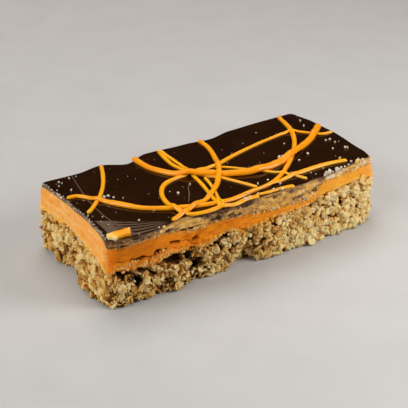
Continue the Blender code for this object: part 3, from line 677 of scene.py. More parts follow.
# The oat mass: step round it, rows up it, how deep it lies under the flakes' level, its underside
# and the caps that close it: scale and height over the underside, then scales at the top.
CORE_STEP = 0.45 * MM
CORE_ROWS = 42
CORE_SUNK = 0.8 * MM
UNDERSIDE = 0.12 * MM
CORE_FOOT = ((0.86, 0), (0.955, 0.25 * MM), (0.985, 0.5 * MM))
CORE_HEAD = (0.96, 0.8)


def craggy(places):
    """Relief of the oat mass: lumps of about 3.4 mm and 1.6 mm with seams between, slow dents."""
    return (pebble_noise(places, 3.4 * MM, 11) * 1.1 * MM
            + pebble_noise(places, 1.6 * MM, 17) * 0.55 * MM
            + layered_noise(places, 8 * MM, 23) * 0.7 * MM - 1.0 * MM)


def oat_core():
    """The oat mass behind the flakes: its sides carry the craggy relief, and caps draw in to the
    middle at the underside and under the filling. As painted shade, lumps are painted paler
    and seams and pockets darker."""
    bar = Bar(CORE_STEP)
    every = np.arange(bar.count)
    low, high = 0.9 * MM, bar.orange_low - GAP - 0.7 * MM
    rows, tints = [], []
    for share in np.linspace(0, 1, CORE_ROWS):
        height = low * (1 - share) + high * share
        offset = bar.oat_side(height, every)
        pocket = bar.pocket(height, every)
        relief = craggy(bar.ring(offset, height))
        rows.append(bar.ring(offset - CORE_SUNK + relief - pocket, height))
        # Painted shade: seams and pockets painted darker, lumps paler.
        tints.append(0.24 + 0.22 * relief / MM - 0.30 * pocket / MM)
    foot = [drawn_in(rows[0], scale, UNDERSIDE + rise) for scale, rise in CORE_FOOT]
    head = [drawn_in(rows[-1], scale, rows[-1][:, 2] + 0.3 * MM) for scale in CORE_HEAD]
    vertices, faces = rings_with_poles(np.stack([*foot, *rows, *head]))
    core = new_object("oat_core", vertices, faces)
    plain = [np.full(bar.count, 0.35)]
    tints = plain * len(foot) + tints + plain * len(head)
    add_attribute(core, "tint", np.concatenate([*tints, [0.3, 0.3]]))
    return core, bar


def random_turns(random, normals, tilt):
    """Turning matrices whose third column is the normal leant over at random, spun about it."""
    lean = normals + random.normal(0, 1, normals.shape) * tilt[:, None]
    up = lean / np.linalg.norm(lean, axis=1)[:, None]
    side = np.cross(random.normal(0, 1, normals.shape), up)
    side /= np.linalg.norm(side, axis=1)[:, None]
    return np.stack([side, np.cross(up, side), up], axis=-1)


# The two kinds of flakes: corners round the outline, rows from the upper face to the lower one
# as shares of the reach and of the half thickness, thickness as a share of the length, and how
# deep they sit in the mass.
WHOLE_FLAKE = (10, ((0.5, 0.82), (0.86, 0.55), (1.0, 0.0), (0.86, -0.55), (0.5, -0.82)), 0.13, 0.15 * MM)
BROKEN_FLAKE = (7, ((0.75, 0.7), (1.0, 0.0), (0.75, -0.7)), 0.22, 0.0)

# A broken flake's length as a share of a whole one's, and the tint of a flake on a plain spot.
BROKEN_SIZE = 0.48
FLAKE_TINT = 0.71


def flake_shapes(random, count, size, sides, rows, thick_share):
    """Rolled oats, (flake, vertex, xyz): an oval of uneven radius, thin at its rim, cupped along
    its length and across it, with a crease down the middle of its upper face. The second array
    is how far each vertex is towards the rim."""
    angle = np.linspace(0, 2 * np.pi, sides, endpoint=False)
    wave = np.ones((count, sides))
    for order, amount in ((2, 0.11), (3, 0.11), (4, 0.08), (5, 0.07)):
        turn = random.uniform(0, 2 * np.pi, (count, 1))
        wave += amount * random.normal(0, 1, (count, 1)) * np.cos(order * angle + turn)
    wave = np.clip(wave, 0.55, 1.45)
    long_half = 0.5 * size * np.exp(np.clip(random.normal(0, 0.24, (count, 1)), -0.6, 0.22))
    broad_half = long_half * random.uniform(0.52, 0.90, (count, 1))
    thick = thick_share * size * random.uniform(0.7, 1.3, (count, 1))
    cup = random.normal(0.1, 0.35, (count, 1)) / size
    curl = random.normal(0, 0.28, (count, 1)) / size
    crease = random.uniform(0.2, 0.7, (count, 1)) * thick
    layers, rim = [], []
    for reach, level in rows:
        x = long_half * wave * reach * np.cos(angle)
        y = broad_half * wave * reach * np.sin(angle)
        z = thick * (level + 0.22 * random.normal(0, 1, (count, sides))) + cup * y ** 2 + curl * x ** 2
        z -= crease * (level > 0) * bell(y / (0.3 * broad_half))
        layers.append(np.stack([x, y, z], axis=-1))
        rim.append(np.full(sides, reach if level > 0 else 1.2))
    for level in (0.95, -0.95):
        z = thick * level - crease * (level > 0)
        layers.append(np.concatenate([np.zeros_like(z), np.zeros_like(z), z], axis=1)[:, None])
    return np.concatenate(layers, axis=1), np.concatenate([*rim, [0.2, 1.2]])


def flake_faces(sides, rows):
    """Triangles of one flake, from its upper pole over the rim to its lower pole."""
    total = rows * sides
    return np.vstack([ring_faces(rows, sides)[:, ::-1], pole_faces(0, sides, total, True),
                      pole_faces(total - sides, sides, total + 1, False)])


def scattered(name, shapes, faces, turns, places, tints):
    """Copies of small shapes turned and set in place, as one object with a tint for each vertex."""
    count, corners, _ = shapes.shape
    vertices = np.einsum("nij,nvj->nvi", turns, shapes) + places[:, None]
    all_faces = (faces[None] + (np.arange(count) * corners)[:, None, None]).reshape(-1, 3)
    thing = new_object(name, vertices.reshape(-1, 3), all_faces)
    add_attribute(thing, "tint", np.broadcast_to(tints, (count, corners)))
    return thing


def above_floor(shapes, turns, places, low):
    """Lift each copy so that its lowest point stays above a height."""
    lowest = np.einsum("nj,nvj->nv", turns[:, 2], shapes).min(axis=1) + places[:, 2]
    return places + np.column_stack([np.zeros((len(places), 2)), np.maximum(low - lowest, 0)])


def oat_spots(random, bar, count, sunk):
    """Random spots on the oat sides, thinned out in the pockets: place and outward direction,
    with how craggy, how dark and how stained by the filling the oats are there. The darkness is
    a weighted sum of the spot's depth, pocket and relief, which are painted shade, slow noise,
    which is the oats' own tone, and the two tables of painted light and shade along the front."""
    column = random.integers(0, bar.count, count * 2)
    low = 0.5 * MM
    height = low + (bar.orange_low[column] - 0.5 * MM - low) * random.uniform(0, 1, count * 2)
    pocket = bar.pocket(height, column)
    keep = np.flatnonzero(random.uniform(0, 1, count * 2) > 0.9 * pocket / MM)[:count]
    column, height, pocket = column[keep], height[keep], pocket[keep]
    offset = bar.oat_side(height, column)
    relief = craggy(bar.spots(column, offset, height))
    depth = random.normal(0, 0.30 * MM, len(keep)) - sunk
    places = bar.spots(column, offset + relief * 0.8 - pocket + depth, height)
    front, left = bar.share["front"][column], bar.share["left"][column]
    x = bar.points[column, 0]
    rough = bar.craggy_share(column)
    # Painted shade: deeper spots, pockets and seams are painted darker.
    dark = 0.10 * rough - 0.30 * depth / MM + 0.30 * pocket / MM - 0.20 * relief / MM
    dark += value_noise(places, 3.6 * MM, 311) * 0.36
    # Painted light along the front.
    dark -= front * read_share(OAT_PAINTED_LIGHT, x)
    # Painted shade under the filling's ledge, partly a stain.
    dark += front * read_share(OAT_SHADE_AND_STAIN, x) * between(height, 8.5 * MM, 12.5 * MM)
    # Darker towards the bottom of the left end.
    dark += left * (0.01 + 0.08 * between(height, 13 * MM, 0))
    stain = np.clip(1.1 - (bar.orange_low[column] - height) / (1.8 * MM), 0, 0.75)
    return places, bar.facing(column), rough, dark, stain


def oat_flakes(random, bar, name, count, size, kind):
    """Flakes of one kind over the oat sides, laid flatter where the oats are smooth. Each takes
    the tone and painted shade of its spot and a random step; as painted shade, its parts are
    painted paler as they stand out and darker as they sink, and its rim and lower face darker,
    which is partly browned edges."""
    sides, rows, thick_share, sunk = kind
    places, normals, rough, dark, stain = oat_spots(random, bar, count, sunk)
    smooth = (1 - rough)[:, None]
    shapes, rim = flake_shapes(random, len(places), size * (1 + 0.3 * smooth), sides, rows,
                               thick_share * (1 + smooth))
    turns = random_turns(random, normals, 0.34 + 0.70 * rough)
    places = above_floor(shapes, turns, places, 0.05 * MM)
    flake = FLAKE_TINT - dark + random.normal(0, 1, len(places)) * (0.15 + 0.15 * rough)
    proud = np.einsum("ni,nij,nvj->nv", normals, turns, shapes) / MM
    # Painted shade: parts standing out are painted paler and sunken parts darker.
    tints = np.clip(flake, 0.03, 1)[:, None] + 0.26 * np.clip(proud, -1.2, 0.5)
    # Darker rim and lower face: partly browned edges, partly painted shade between flakes.
    tints -= (0.12 + 0.16 * smooth) * np.clip(rim - 0.7, 0, 0.6)[None] / 0.5
    flakes = scattered(name, shapes, flake_faces(sides, len(rows)), turns, places, tints)
    add_attribute(flakes, "stain", np.repeat(stain, shapes.shape[1]))
    return flakes


def oat_finish(colour, name, relief):
    """Baked oats: the tint runs from dark syrup and painted shade over golden brown to floury
    cream, mottled by noise, with a little gloss and fine relief."""
    look = Finish(name)
    mottle = look.noise(1.0 * MM, detail=6, roughness=0.7)
    red, green, blue = colour
    shades = look.ramp(
        look.tint((mottle, 0.18)),
        (0.0, (red * 0.06, green * 0.035, blue * 0.02)),
        (0.22, (red * 0.38, green * 0.25, blue * 0.10)),
        (0.45, (red * 0.82, green * 0.64, blue * 0.36)),
        (0.65, (red * 1.14, green * 1.12, blue * 0.95)),
        (0.85, (red * 1.34, green * 1.58, blue * 2.0)),
        (1.0, (red * 1.42, green * 1.92, blue * 3.4)),
    )
    shades = look.over(shades, "stain", mottle, 0.35, 0.6, (0.82, 0.42, 0.07))
    normal = look.bump(look.noise(0.7 * MM, detail=6, roughness=0.65), relief)
    look.set(Base_Color=shades, Roughness=look.span(mottle, 0.3, 0.7, 0.36, 0.62), Normal=normal)
    return look.set(Specular_IOR_Level=0.3, Coat_Weight=0.12, Coat_Roughness=0.3,
                    Subsurface_Weight=0.2, Subsurface_Scale=0.9 * MM, Subsurface_Radius=(1.0, 0.5, 0.2))


class FLAPJACK_OT_oats(bpy.types.Operator):
    """Build the oat base: a craggy mass, whole rolled flakes and broken pieces over it."""

    bl_idname = "flapjack.oats"
    bl_label = "Oats"

    def execute(self, context):
        sizes = context.scene.flapjack_sizes
        colour = tuple(context.scene.flapjack_colours.oat)
        random = np.random.default_rng(OATS_SEED)
        core, bar = oat_core()
        declare(core, oat_finish(colour, "oat_core_finish", 0.5 * MM), "oat_base")
        for name, count, size, kind in (
                ("rolled_flakes", sizes.flake_count, sizes.flake_length, WHOLE_FLAKE),
                ("broken_flakes", sizes.bit_count, sizes.flake_length * BROKEN_SIZE, BROKEN_FLAKE)):
            flakes = oat_flakes(random, bar, name, count, size, kind)
            declare(flakes, oat_finish(colour, name + "_finish", 0.28 * MM))
        return {"FINISHED"}


# The step round the filling and the sheet, the filling's rows, the depth and half width of its
# cracks, and the place and half width of the drip at its left corner.
SIDE_STEP = 0.42 * MM
ORANGE_ROWS = 58
CRACK_DEPTH = 2.2 * MM
CRACK_HALF = 0.54 * MM
DRIP_PLACE = (-58.0 * MM, -26.2 * MM)
DRIP_HALF = 1.6 * MM


def crack_share(places):
    """How near each place is to an open stretch of a crack, from 0 to 1: the height follows the
    crack's table with a small wobble, and slow noise along it opens and shuts it."""
    x, z = places[:, 0], places[:, 2]
    line = places * np.array([1, 0, 0])
    wobble = (value_noise(line, 2.0 * MM, 53) * 0.28 + value_noise(line, 0.9 * MM, 54) * 0.30) * MM
    near = np.zeros(len(places))
    for table, openness in CRACK_RUNS:
        first, last = table[0][0] * MM, table[-1][0] * MM
        within = between(x, first, first + 1 * MM) * between(x, last, last - 1 * MM)
        opened = (value_noise(line, 1.3 * MM, 59) + 2.0 * openness - 1) * 2.5
        half = CRACK_HALF * (0.65 + 0.9 * value_noise(line, 2.6 * MM, 57))
        close = bell((z - read_table(table, x) - wobble) / half)
        near = np.maximum(near, close * within * np.clip(opened, 0.25 * openness, 1))
    return near


def filling_rows(bar):
    """Rows of the filling: in under its lower border, up the cut side and in under the
    chocolate. Each row's place runs straight from the lower border to the upper one. The lowest
    are tucked in by a square and made ragged by a fourth power of the share that is left."""
    ragged = (layered_noise(bar.flat, 4.5 * MM, 31) * 0.8
              + value_noise(bar.flat, 1.3 * MM, 37) * 0.5) * MM
    low, high = bar.orange_low, bar.chocolate_low - GAP
    side_high = bar.orange * 0.4 + (bar.top - 0.2 * MM) * 0.6
    rows = [bar.ring(bar.orange - 2.0 * MM, low + 0.3 * MM)]
    for share in np.linspace(0, 1, ORANGE_ROWS):
        tucked = 0.6 * MM * (1 - min(share / 0.16, 1)) ** 2
        rows.append(bar.ring(bar.orange * (1 - share) + side_high * share - tucked,
                             low * (1 - share) + high * share + ragged * (1 - share) ** 4))
    rows.append(bar.ring(bar.top - 0.9 * MM, high + 0.05 * MM))
    rows.append(bar.ring(bar.top - 1.4 * MM, CHOCOLATE_FLOOR - GAP))
    return np.stack(rows)


def filling_relief(places):
    """How far the filling's side stands out: the sum of drag marks, slow waves, lumps along the
    lower border, pits where fine noise peaks, and a bell for the drip at the left corner."""
    z = places[:, 2]
    drag = layered_noise(places * np.array([0.55, 0.55, 1.1]), 1.8 * MM, 41, layers=4) * 0.22 * MM
    broad = layered_noise(places, 7 * MM, 43) * 0.28 * MM
    lumps = (pebble_noise(places, 2.2 * MM, 45) - 0.55) * 1.5 * MM * between(z, 17.8 * MM, 16.6 * MM)
    pits = np.clip(value_noise(places, 1.1 * MM, 47) - 0.6, 0, 1) * -0.9 * MM
    drip = bell((places[:, :2] - DRIP_PLACE) / DRIP_HALF).prod(axis=1)
    return drag + broad + lumps + pits + drip * between(z, 19 * MM, 17 * MM) * 0.5 * MM


def orange_shell():
    """The filling as one closed surface: its rows moved outwards by the relief less the cracks'
    depth, apart from the hidden ones, and closed by a smaller ring below and above."""
    bar = Bar(SIDE_STEP)
    rings = filling_rows(bar)
    places = rings.reshape(-1, 3)
    crack = crack_share(places) * np.tile(bar.share["front"], len(rings))
    push = (filling_relief(places) - crack * CRACK_DEPTH).reshape(len(rings), -1)
    push[[0, -2, -1]] = 0
    bar.push(rings, push)
    below = drawn_in(rings[0], 0.8, rings[0][:, 2] + GAP)
    above = drawn_in(rings[-1], 0.8, rings[-1][:, 2])
    vertices, faces = rings_with_poles(np.stack([below, *rings, above]))
    filling = new_object("orange_filling", vertices, faces)
    none = np.zeros(bar.count)
    # The crack share also paints the cracks near black in the finish, as painted shade.
    add_attribute(filling, "crack", np.concatenate([none, crack, none, [0, 0]]))
    colour_shares(filling, bar, vertices)
    return filling, bar


def colour_shares(filling, bar, vertices):
    """How far each place of the filling takes each colour: pale on the left end and at the far
    right, as painted light on those brightly lit faces; lighter towards the right, as painted
    light; deeper red at the left corner and darker on the front's left part, as painted shade;
    mixed with oat along its lower border, and browned by chocolate along its upper one. Each
    climbs straight between two places or heights."""
    x, _, z = vertices.T
    rows = len(vertices) // bar.count
    front, left, low, high = (
        np.append(np.tile(values, rows), [0, 0]) for values in
        (bar.share["front"], bar.share["left"], bar.orange_low, bar.chocolate_low))
    # Painted light: the brightly lit left end and far right are painted pale.
    pale = np.maximum(between(left, 0.35, 0.55), np.minimum(between(x, 53 * MM, 57 * MM), 0.6))
    # Painted shade: the front's strip at the left corner is painted deeper red.
    deep = between(x, -54.5 * MM, -56 * MM) * (1 - pale)
    # Painted shade: the front's left part is painted darker.
    brown = front * np.minimum(between(x, -36 * MM, -44 * MM), 0.6) * (1 - deep)
    depth = 1 + 1.3 * front * between(x, ROUGH_LEFT, ROUGH_LEFT - 4 * MM) + 1.2 * left
    for name, values in (
            ("pale", pale), ("deep", deep), ("brown", brown),
            # Painted light: the front is painted lighter towards the right.
            ("light", between(x, -4 * MM, 42 * MM) * (1 - pale)),
            ("border", np.clip(1.15 - (z - low) / (1.3 * MM * depth), 0, 1)),
            ("smear", between(z, high - 1.6 * MM, high) * (0.25 + 0.75 * front))):
        add_attribute(filling, name, values)


def orange_finish(colour):
    """Soft filling: streaked along the knife's path, painted paler on the left end and towards
    the right as painted light, deeper red at the left corner and darker on the front's left
    part as painted shade, mixed with oat crumbs at its lower border, browned by chocolate at
    its upper one, and painted near black in its cracks as painted shade."""
    look = Finish("orange_filling_finish")
    red, green, blue = colour
    streak = look.noise(2.0 * MM, detail=6, roughness=0.62, stretch=(0.5, 0.5, 1.2))
    fine = look.noise(0.8 * MM, detail=5, roughness=0.65)
    blotch = look.noise(2.0 * MM, detail=6, roughness=0.6, stretch=(1, 0.4, 1.1))
    cloud = look.noise(5 * MM, detail=3)
    base = look.ramp(streak, (0.28, (red * 0.70, green * 0.52, blue * 0.5)), (0.5, colour),
                     (0.72, (red * 1.08, green * 1.42, blue * 1.5)))
    # Painted light: lighter towards the right.
    base = look.over(base, "light", cloud, 0.1, 0.5, (red * 1.08, green * 1.62, blue * 9))
    # Painted light: paler on the brightly lit left end and far right.
    pale = look.ramp(blotch, (0.34, (0.98, 0.33, 0.042)), (0.5, (0.98, 0.43, 0.092)),
                     (0.64, (1.0, 0.53, 0.16)))
    base = look.mix(look.attribute("pale"), base, pale)
    # Painted shade: deeper red at the left corner.
    base = look.over(base, "deep", cloud, 0.1, 0.5, (0.90, 0.21, 0.005))
    draw, _ = look.pieces(1.5 * MM)
    lumps = look.ramp(draw, (0.0, (0.98, 0.46, 0.03)), (0.35, (0.98, 0.54, 0.06)),
                      (0.6, (0.96, 0.60, 0.15)), (0.85, (0.94, 0.68, 0.32)),
                      (1.0, (0.64, 0.30, 0.05)))
    base = look.over(base, "border", fine, 0.42, 0.5, lumps)
    # Painted shade: darker on the front's left part.
    base = look.over(base, "brown", cloud, 0.1, 0.6, (red * 0.66, green * 0.56, blue * 0.4))
    upper = look.ramp(streak, (0.32, (0.40, 0.15, 0.02)), (0.48, (0.76, 0.32, 0.04)),
                      (0.62, (0.84, 0.52, 0.20)))
    drawn = look.noise(0.9 * MM, detail=5, stretch=(0.5, 0.5, 1.4))
    base = look.over(base, "smear", drawn, 0.40, 0.56, upper)
    # Painted shade: the cracks are painted near black.
    base = look.mix(look.attribute("crack"), base, (0.02, 0.005, 0.001))
    normal = look.bump(fine, 0.10 * MM)
    look.set(Base_Color=base, Roughness=look.span(streak, 0.3, 0.7, 0.45, 0.65), Normal=normal)
    return look.set(Subsurface_Weight=0.15, Subsurface_Scale=1.2 * MM, Specular_IOR_Level=0.12,
                    Subsurface_Radius=(1.0, 0.4, 0.1))


def ball():
    """A ball of 42 corners and 80 triangles: an icosahedron's edges split at their middles."""
    golden = (1 + 5 ** 0.5) / 2
    corners = np.array([[0, a, b * golden] for a in (-1, 1) for b in (-1, 1)])
    corners = np.vstack([np.roll(corners, turn, axis=1) for turn in range(3)])
    near = np.linalg.norm(corners[:, None] - corners[None], axis=2) < 2.1
    trios = np.array([trio for trio in itertools.combinations(range(12), 3)
                      if all(near[a, b] for a, b in itertools.combinations(trio, 2))])
    a, b, c = corners[trios].transpose(1, 0, 2)
    inward = np.einsum("ij,ij->i", np.cross(b - a, c - a), a) < 0
    trios[inward] = trios[inward][:, ::-1]
    edges = np.sort(trios[:, [0, 1, 1, 2, 2, 0]].reshape(-1, 2), axis=1)
    pairs, which = np.unique(edges, axis=0, return_inverse=True)
    points = np.vstack([corners, corners[pairs].mean(axis=1)])
    a, b, c = trios.T
    ab, bc, ca = (12 + which.reshape(-1, 3)).T
    faces = [np.column_stack(trio) for trio in ((a, ab, ca), (ab, b, bc), (ca, bc, c), (ab, bc, ca))]
    return points / np.linalg.norm(points, axis=1)[:, None], np.vstack(faces)


def crumb_shapes(random, sizes):
    """Uneven crumbs, (crumb, vertex, xyz): a ball with six flats cut at random distances, its
    surface a little bumpy and the whole squashed."""
    points, _ = ball()
    flats = random.normal(0, 1, (len(sizes), 6, 3))
    flats /= np.linalg.norm(flats, axis=2)[:, :, None]
    towards = np.clip(np.einsum("nkj,vj->nvk", flats, points), 0.05, 1)
    reach = np.minimum(random.uniform(0.55, 1.0, (len(sizes), 1, 6)) / towards, 1.15).min(axis=2)
    reach = reach * random.uniform(0.92, 1.08, reach.shape)
    squash = random.uniform(0.65, 1.15, (len(sizes), 1, 3))
    return points[None] * reach[:, :, None] * squash * (0.5 * sizes)[:, None, None]


def crumbs(name, random, places, sizes, tints, facing=(0.0, 0.0, 1.0), tilt=3.0, flatness=1.0):
    """Crumbs of the given sizes at the given places: turned at random, or pressed flat against
    a surface that faces a given way."""
    facing = np.broadcast_to(np.asarray(facing, float), (len(places), 3))
    turns = random_turns(random, facing, np.full(len(places), tilt))
    shapes = crumb_shapes(random, sizes) * np.array([1, 1, flatness])
    return scattered(name, shapes, ball()[1], turns, places, np.asarray(tints)[:, None])


def tinted_finish(name, roughness, *stops):
    """A plain satin finish whose colour is read from the piece's tint."""
    look = Finish(name)
    grain = look.noise(0.6 * MM, detail=5, roughness=0.6)
    return look.set(Base_Color=look.ramp(look.tint((grain, 0.10)), *stops), Roughness=roughness,
                    Specular_IOR_Level=0.2, Normal=look.bump(grain, 0.15 * MM))


# Bits along the filling's lower border, and how many of them lie on its rough left part.
BIT_COUNT = 850
ROUGH_BITS = 200


def orange_bits(random, bar):
    """Bits of filling mixed with oat along the border with the oats, at random columns and
    heights spread normally about the border: larger and higher on the rough left part."""
    column = random.integers(0, bar.count, BIT_COUNT)
    rough_columns = (bar.share["front"] > 0.5) & (bar.points[:, 0] < ROUGH_LEFT)
    column[:ROUGH_BITS] = random.choice(np.flatnonzero(rough_columns), ROUGH_BITS)
    x = bar.points[column, 0]
    rough = bar.share["front"][column] * (x < ROUGH_LEFT)
    rise = random.normal(0.1, 0.55, BIT_COUNT) + rough * random.uniform(0, 1.9, BIT_COUNT)
    away = bar.orange[column] - random.uniform(0.1, 0.9, BIT_COUNT) * MM
    spots = bar.spots(column, away, bar.orange_low[column] + rise * MM)
    # Paler towards the right and on the left end, as painted light like the filling's there.
    tints = random.normal(0.60 + 0.14 * (x > 12 * MM) - 0.08 * rough, 0.15 + 0.14 * rough, BIT_COUNT)
    tints = np.clip(tints + 0.4 * bar.share["left"][column], 0, 1)
    sizes = (random.uniform(0.4, 1.3, BIT_COUNT) + 0.4 * rough) * MM
    return crumbs("orange_bits", random, spots, sizes, tints, bar.facing(column), 0.8, 0.7)


class FLAPJACK_OT_orange(bpy.types.Operator):
    """Build the orange filling with its drag marks and cracks, and its crumbs along the oats."""

    bl_idname = "flapjack.orange"
    bl_label = "Orange filling"

    def execute(self, context):
        colour = tuple(context.scene.flapjack_colours.orange)
        filling, bar = orange_shell()
        declare(filling, orange_finish(colour), "orange_layer")
        red, green, blue = colour
        look = tinted_finish("orange_bits_finish", 0.6, (0.0, (0.35, 0.13, 0.02)), (0.2, colour),
                             (0.55, (red, green * 1.7, blue * 9)), (1.0, (0.84, 0.6, 0.28)))
        declare(orange_bits(np.random.default_rng(BITS_SEED), bar), look)
        return {"FINISHED"}


# The sheet: radius of its upper edge, thickness of its skirt, and rows under it, up the skirt
# and round the edge. The rows of the top are drawn in to the middle by these shares.
ROUNDING = 0.5 * MM
SKIRT = 0.6 * MM
UNDER_ROWS = 4
SKIRT_ROWS = 16
ROUND_ROWS = 5
TOP_INSET = np.concatenate([np.linspace(0.006, 0.34, 46), np.linspace(0.37, 0.97, 18)])

# How strong each look is on the sheet's rows: under it, at the skirt's foot and head, and at the
# start and end of the rounding. The top has none of them.
SHEET_LOOKS = {"bloom": (0, (0.4, 1.0), (1, 0.2)), "smear": (1, (1, 0.9), (0.7, 0.1)),
               "matt": (1, (1, 1), (0.8, 0.1))}

# The colours of the smears, on the scale of SMEAR_TINT.
SMEAR_SHADES = ((0.0, (0.018, 0.006, 0.001)), (0.15, (0.12, 0.048, 0.006)),
                (0.27, (0.29, 0.15, 0.075)), (0.36, (0.52, 0.27, 0.085)),
                (0.47, (0.68, 0.36, 0.08)), (0.58, (0.86, 0.45, 0.06)),
                (0.75, (0.88, 0.60, 0.24)), (1.0, (0.88, 0.78, 0.68)))

# The fan of ripples near the left corner: a point on the line where it starts, that line's rise
# along the bar, and how steeply the top falls away in front of it.
FAN_PLACE = (-50 * MM, -14 * MM)
FAN_SLOPE = -0.675
FACET_TILT = 0.016


def front_edge(x):
    """Where the top's front edge runs across, for places along the bar."""
    return -WIDTH / 2 - read_table(TOP["front"], x)


def top_level(places):
    """Height of the chocolate's upper face: slow noise, a sine wave for the ripples that fan out
    from the front edge at the near left, and a straight fall in front of the fan's line."""
    x, y = places[:, 0], places[:, 1]
    flat = places * np.array([1, 1, 0])
    swell = value_noise(flat, 26 * MM, 61) * 0.012 * MM
    fan_top = FAN_PLACE[1] + FAN_SLOPE * (x - FAN_PLACE[0])
    share = np.clip((fan_top - y) / np.maximum(fan_top - front_edge(x), 1 * MM), 0, 1)
    here = between(x, -51.5 * MM, -49.5 * MM) * between(x, -34 * MM, -38 * MM)
    phase = 2 * np.pi * (5.5 * share ** 0.8 + 0.5 * value_noise(flat, 9 * MM, 63))
    ripple = np.sin(phase) * np.sin(np.pi * np.clip(share * 1.1, 0, 1)) * here * 0.020 * MM
    past = np.clip((fan_top - y) * 0.83, 0, None)
    left = between(x, -47.8 * MM, -49 * MM)
    return HEIGHT + swell + ripple - past * (0.2 + 0.8 * left) * FACET_TILT


def side_patches(places, front):
    """The front side's tint and how far it stands out: the tint table and noise, and then each
    patch laid over the last by the product of two bells, the one along the bar flat-topped."""
    x, z = places[:, 0] / MM, places[:, 2] / MM
    drift = layered_noise(places * np.array([0.65, 0.65, 1.3]), 1.5 * MM, 75)
    tint = read_share(SMEAR_TINT, places[:, 0]) + 0.05 + 0.38 * drift
    proud = np.zeros(len(places))
    for place, height, half_length, half_height, slope, colour, amount in PATCHES:
        along = (x - place) / half_length
        up = (z - height - slope * (x - place) - 0.5 * drift) / half_height
        near = np.clip(1.9 * bell(along ** 2) * bell(up) - 0.35, 0, 1)
        tint = tint * (1 - near) + (colour + 0.16 * drift) * near
        proud = proud * (1 - near) + amount * MM * near
    return tint, proud * front


def sheet_side(bar):
    """Rows of the sheet's side: its underside, the thin skirt in even steps from its ragged
    foot, and a quarter circle for the upper edge, which is jagged along the front."""
    front = bar.share["front"]
    ragged = layered_noise(bar.flat, 3.0 * MM, 67, roughness=0.7) * 1.0 * MM
    low = np.minimum(bar.chocolate_low + ragged * front, CHOCOLATE_FLOOR - 0.25 * MM * front)
    jag = layered_noise(bar.flat, 2.4 * MM, 69, roughness=0.7) * 0.55 * MM * front
    inner = bar.top - SKIRT
    rows = [bar.ring(inner - 3 * MM, CHOCOLATE_FLOOR), bar.ring(inner - 0.5 * MM, CHOCOLATE_FLOOR),
            bar.ring(inner, low + 0.06 * MM), bar.ring(bar.top - 0.12 * MM, low)]
    for share in np.linspace(0.05, 1, SKIRT_ROWS):
        rows.append(bar.ring(bar.top, low * (1 - share) + (HEIGHT - ROUNDING) * share))
    for angle in np.radians(np.linspace(15, 90, ROUND_ROWS)):
        rows.append(bar.ring(bar.top + jag * math.sin(angle) - ROUNDING * (1 - math.cos(angle)),
                             HEIGHT - ROUNDING * (1 - math.sin(angle))))
    return np.stack(rows)


def roughen_side(bar, rings, smeared):
    """Push the sheet's side in and out by the sum of drag marks, the patches and, where it is
    smeared, crumbly lumps, less and less over the rounding. Returns the tint of its smears."""
    places = rings.reshape(-1, 3)
    rough = layered_noise(places * np.array([0.5, 0.5, 1.2]), 1.8 * MM, 71) * 0.45 * MM
    crumbly = pebble_noise(places * np.array([0.7, 0.7, 1]), 1.5 * MM, 73) * 0.5 * MM
    tint, proud = side_patches(places, np.tile(bar.share["front"], len(rings)))
    weight = np.concatenate([np.zeros(UNDER_ROWS - 1), np.ones(1 + SKIRT_ROWS),
                             np.linspace(0.8, 0, ROUND_ROWS)])
    smeared = np.tile(smeared, len(rings))
    push = rough * (0.55 + 0.45 * smeared) + proud + crumbly * smeared
    bar.push(rings, push.reshape(len(rings), -1) * weight[:, None])
    return tint


def sheet_top(edge):
    """Rows of the sheet's top: its edge drawn in to the middle, at the top's own level from
    about a millimetre inside the edge."""
    top = np.stack([drawn_in(edge, 1 - inset, HEIGHT) for inset in TOP_INSET])
    level = top_level(top.reshape(-1, 3)).reshape(len(top), -1)
    blend = between(TOP_INSET, 0, 0.03)[:, None]
    top[:, :, 2] = HEIGHT * (1 - blend) + level * blend
    return top


def chocolate_shell():
    """The sheet as one closed surface. The strength of each of its looks is its share for the
    row times its share for the column."""
    bar = Bar(SIDE_STEP)
    smeared = np.clip(2.5 * bar.share["front"], 0, 1) * (bar.points[:, 1] < 0)
    side = sheet_side(bar)
    tint = roughen_side(bar, side, smeared)
    top = sheet_top(side[-1])
    vertices, faces = rings_with_poles(np.concatenate([side, top]))
    sheet = new_object("chocolate_sheet", vertices, faces)
    top_tint = np.full(len(top) * bar.count, 0.1)
    add_attribute(sheet, "tint", np.clip(np.concatenate([tint, top_tint, [0, 0]]), 0, 1))
    bloom = bar.share["left"] * (1 - smeared) + 0.25 * bar.share["back"] + 0.25 * bar.share["right"]
    columns = {"bloom": bloom, "smear": smeared, "matt": np.ones(bar.count)}
    for name, (under, skirt, rounding) in SHEET_LOOKS.items():
        rows = np.concatenate([np.full(UNDER_ROWS, under), np.linspace(*skirt, SKIRT_ROWS),
                               np.linspace(*rounding, ROUND_ROWS), np.zeros(len(top))])
        values = np.clip(rows[:, None] * columns[name][None], 0, 1).ravel()
        add_attribute(sheet, name, np.append(values, [0, 0]))
    return sheet, bar


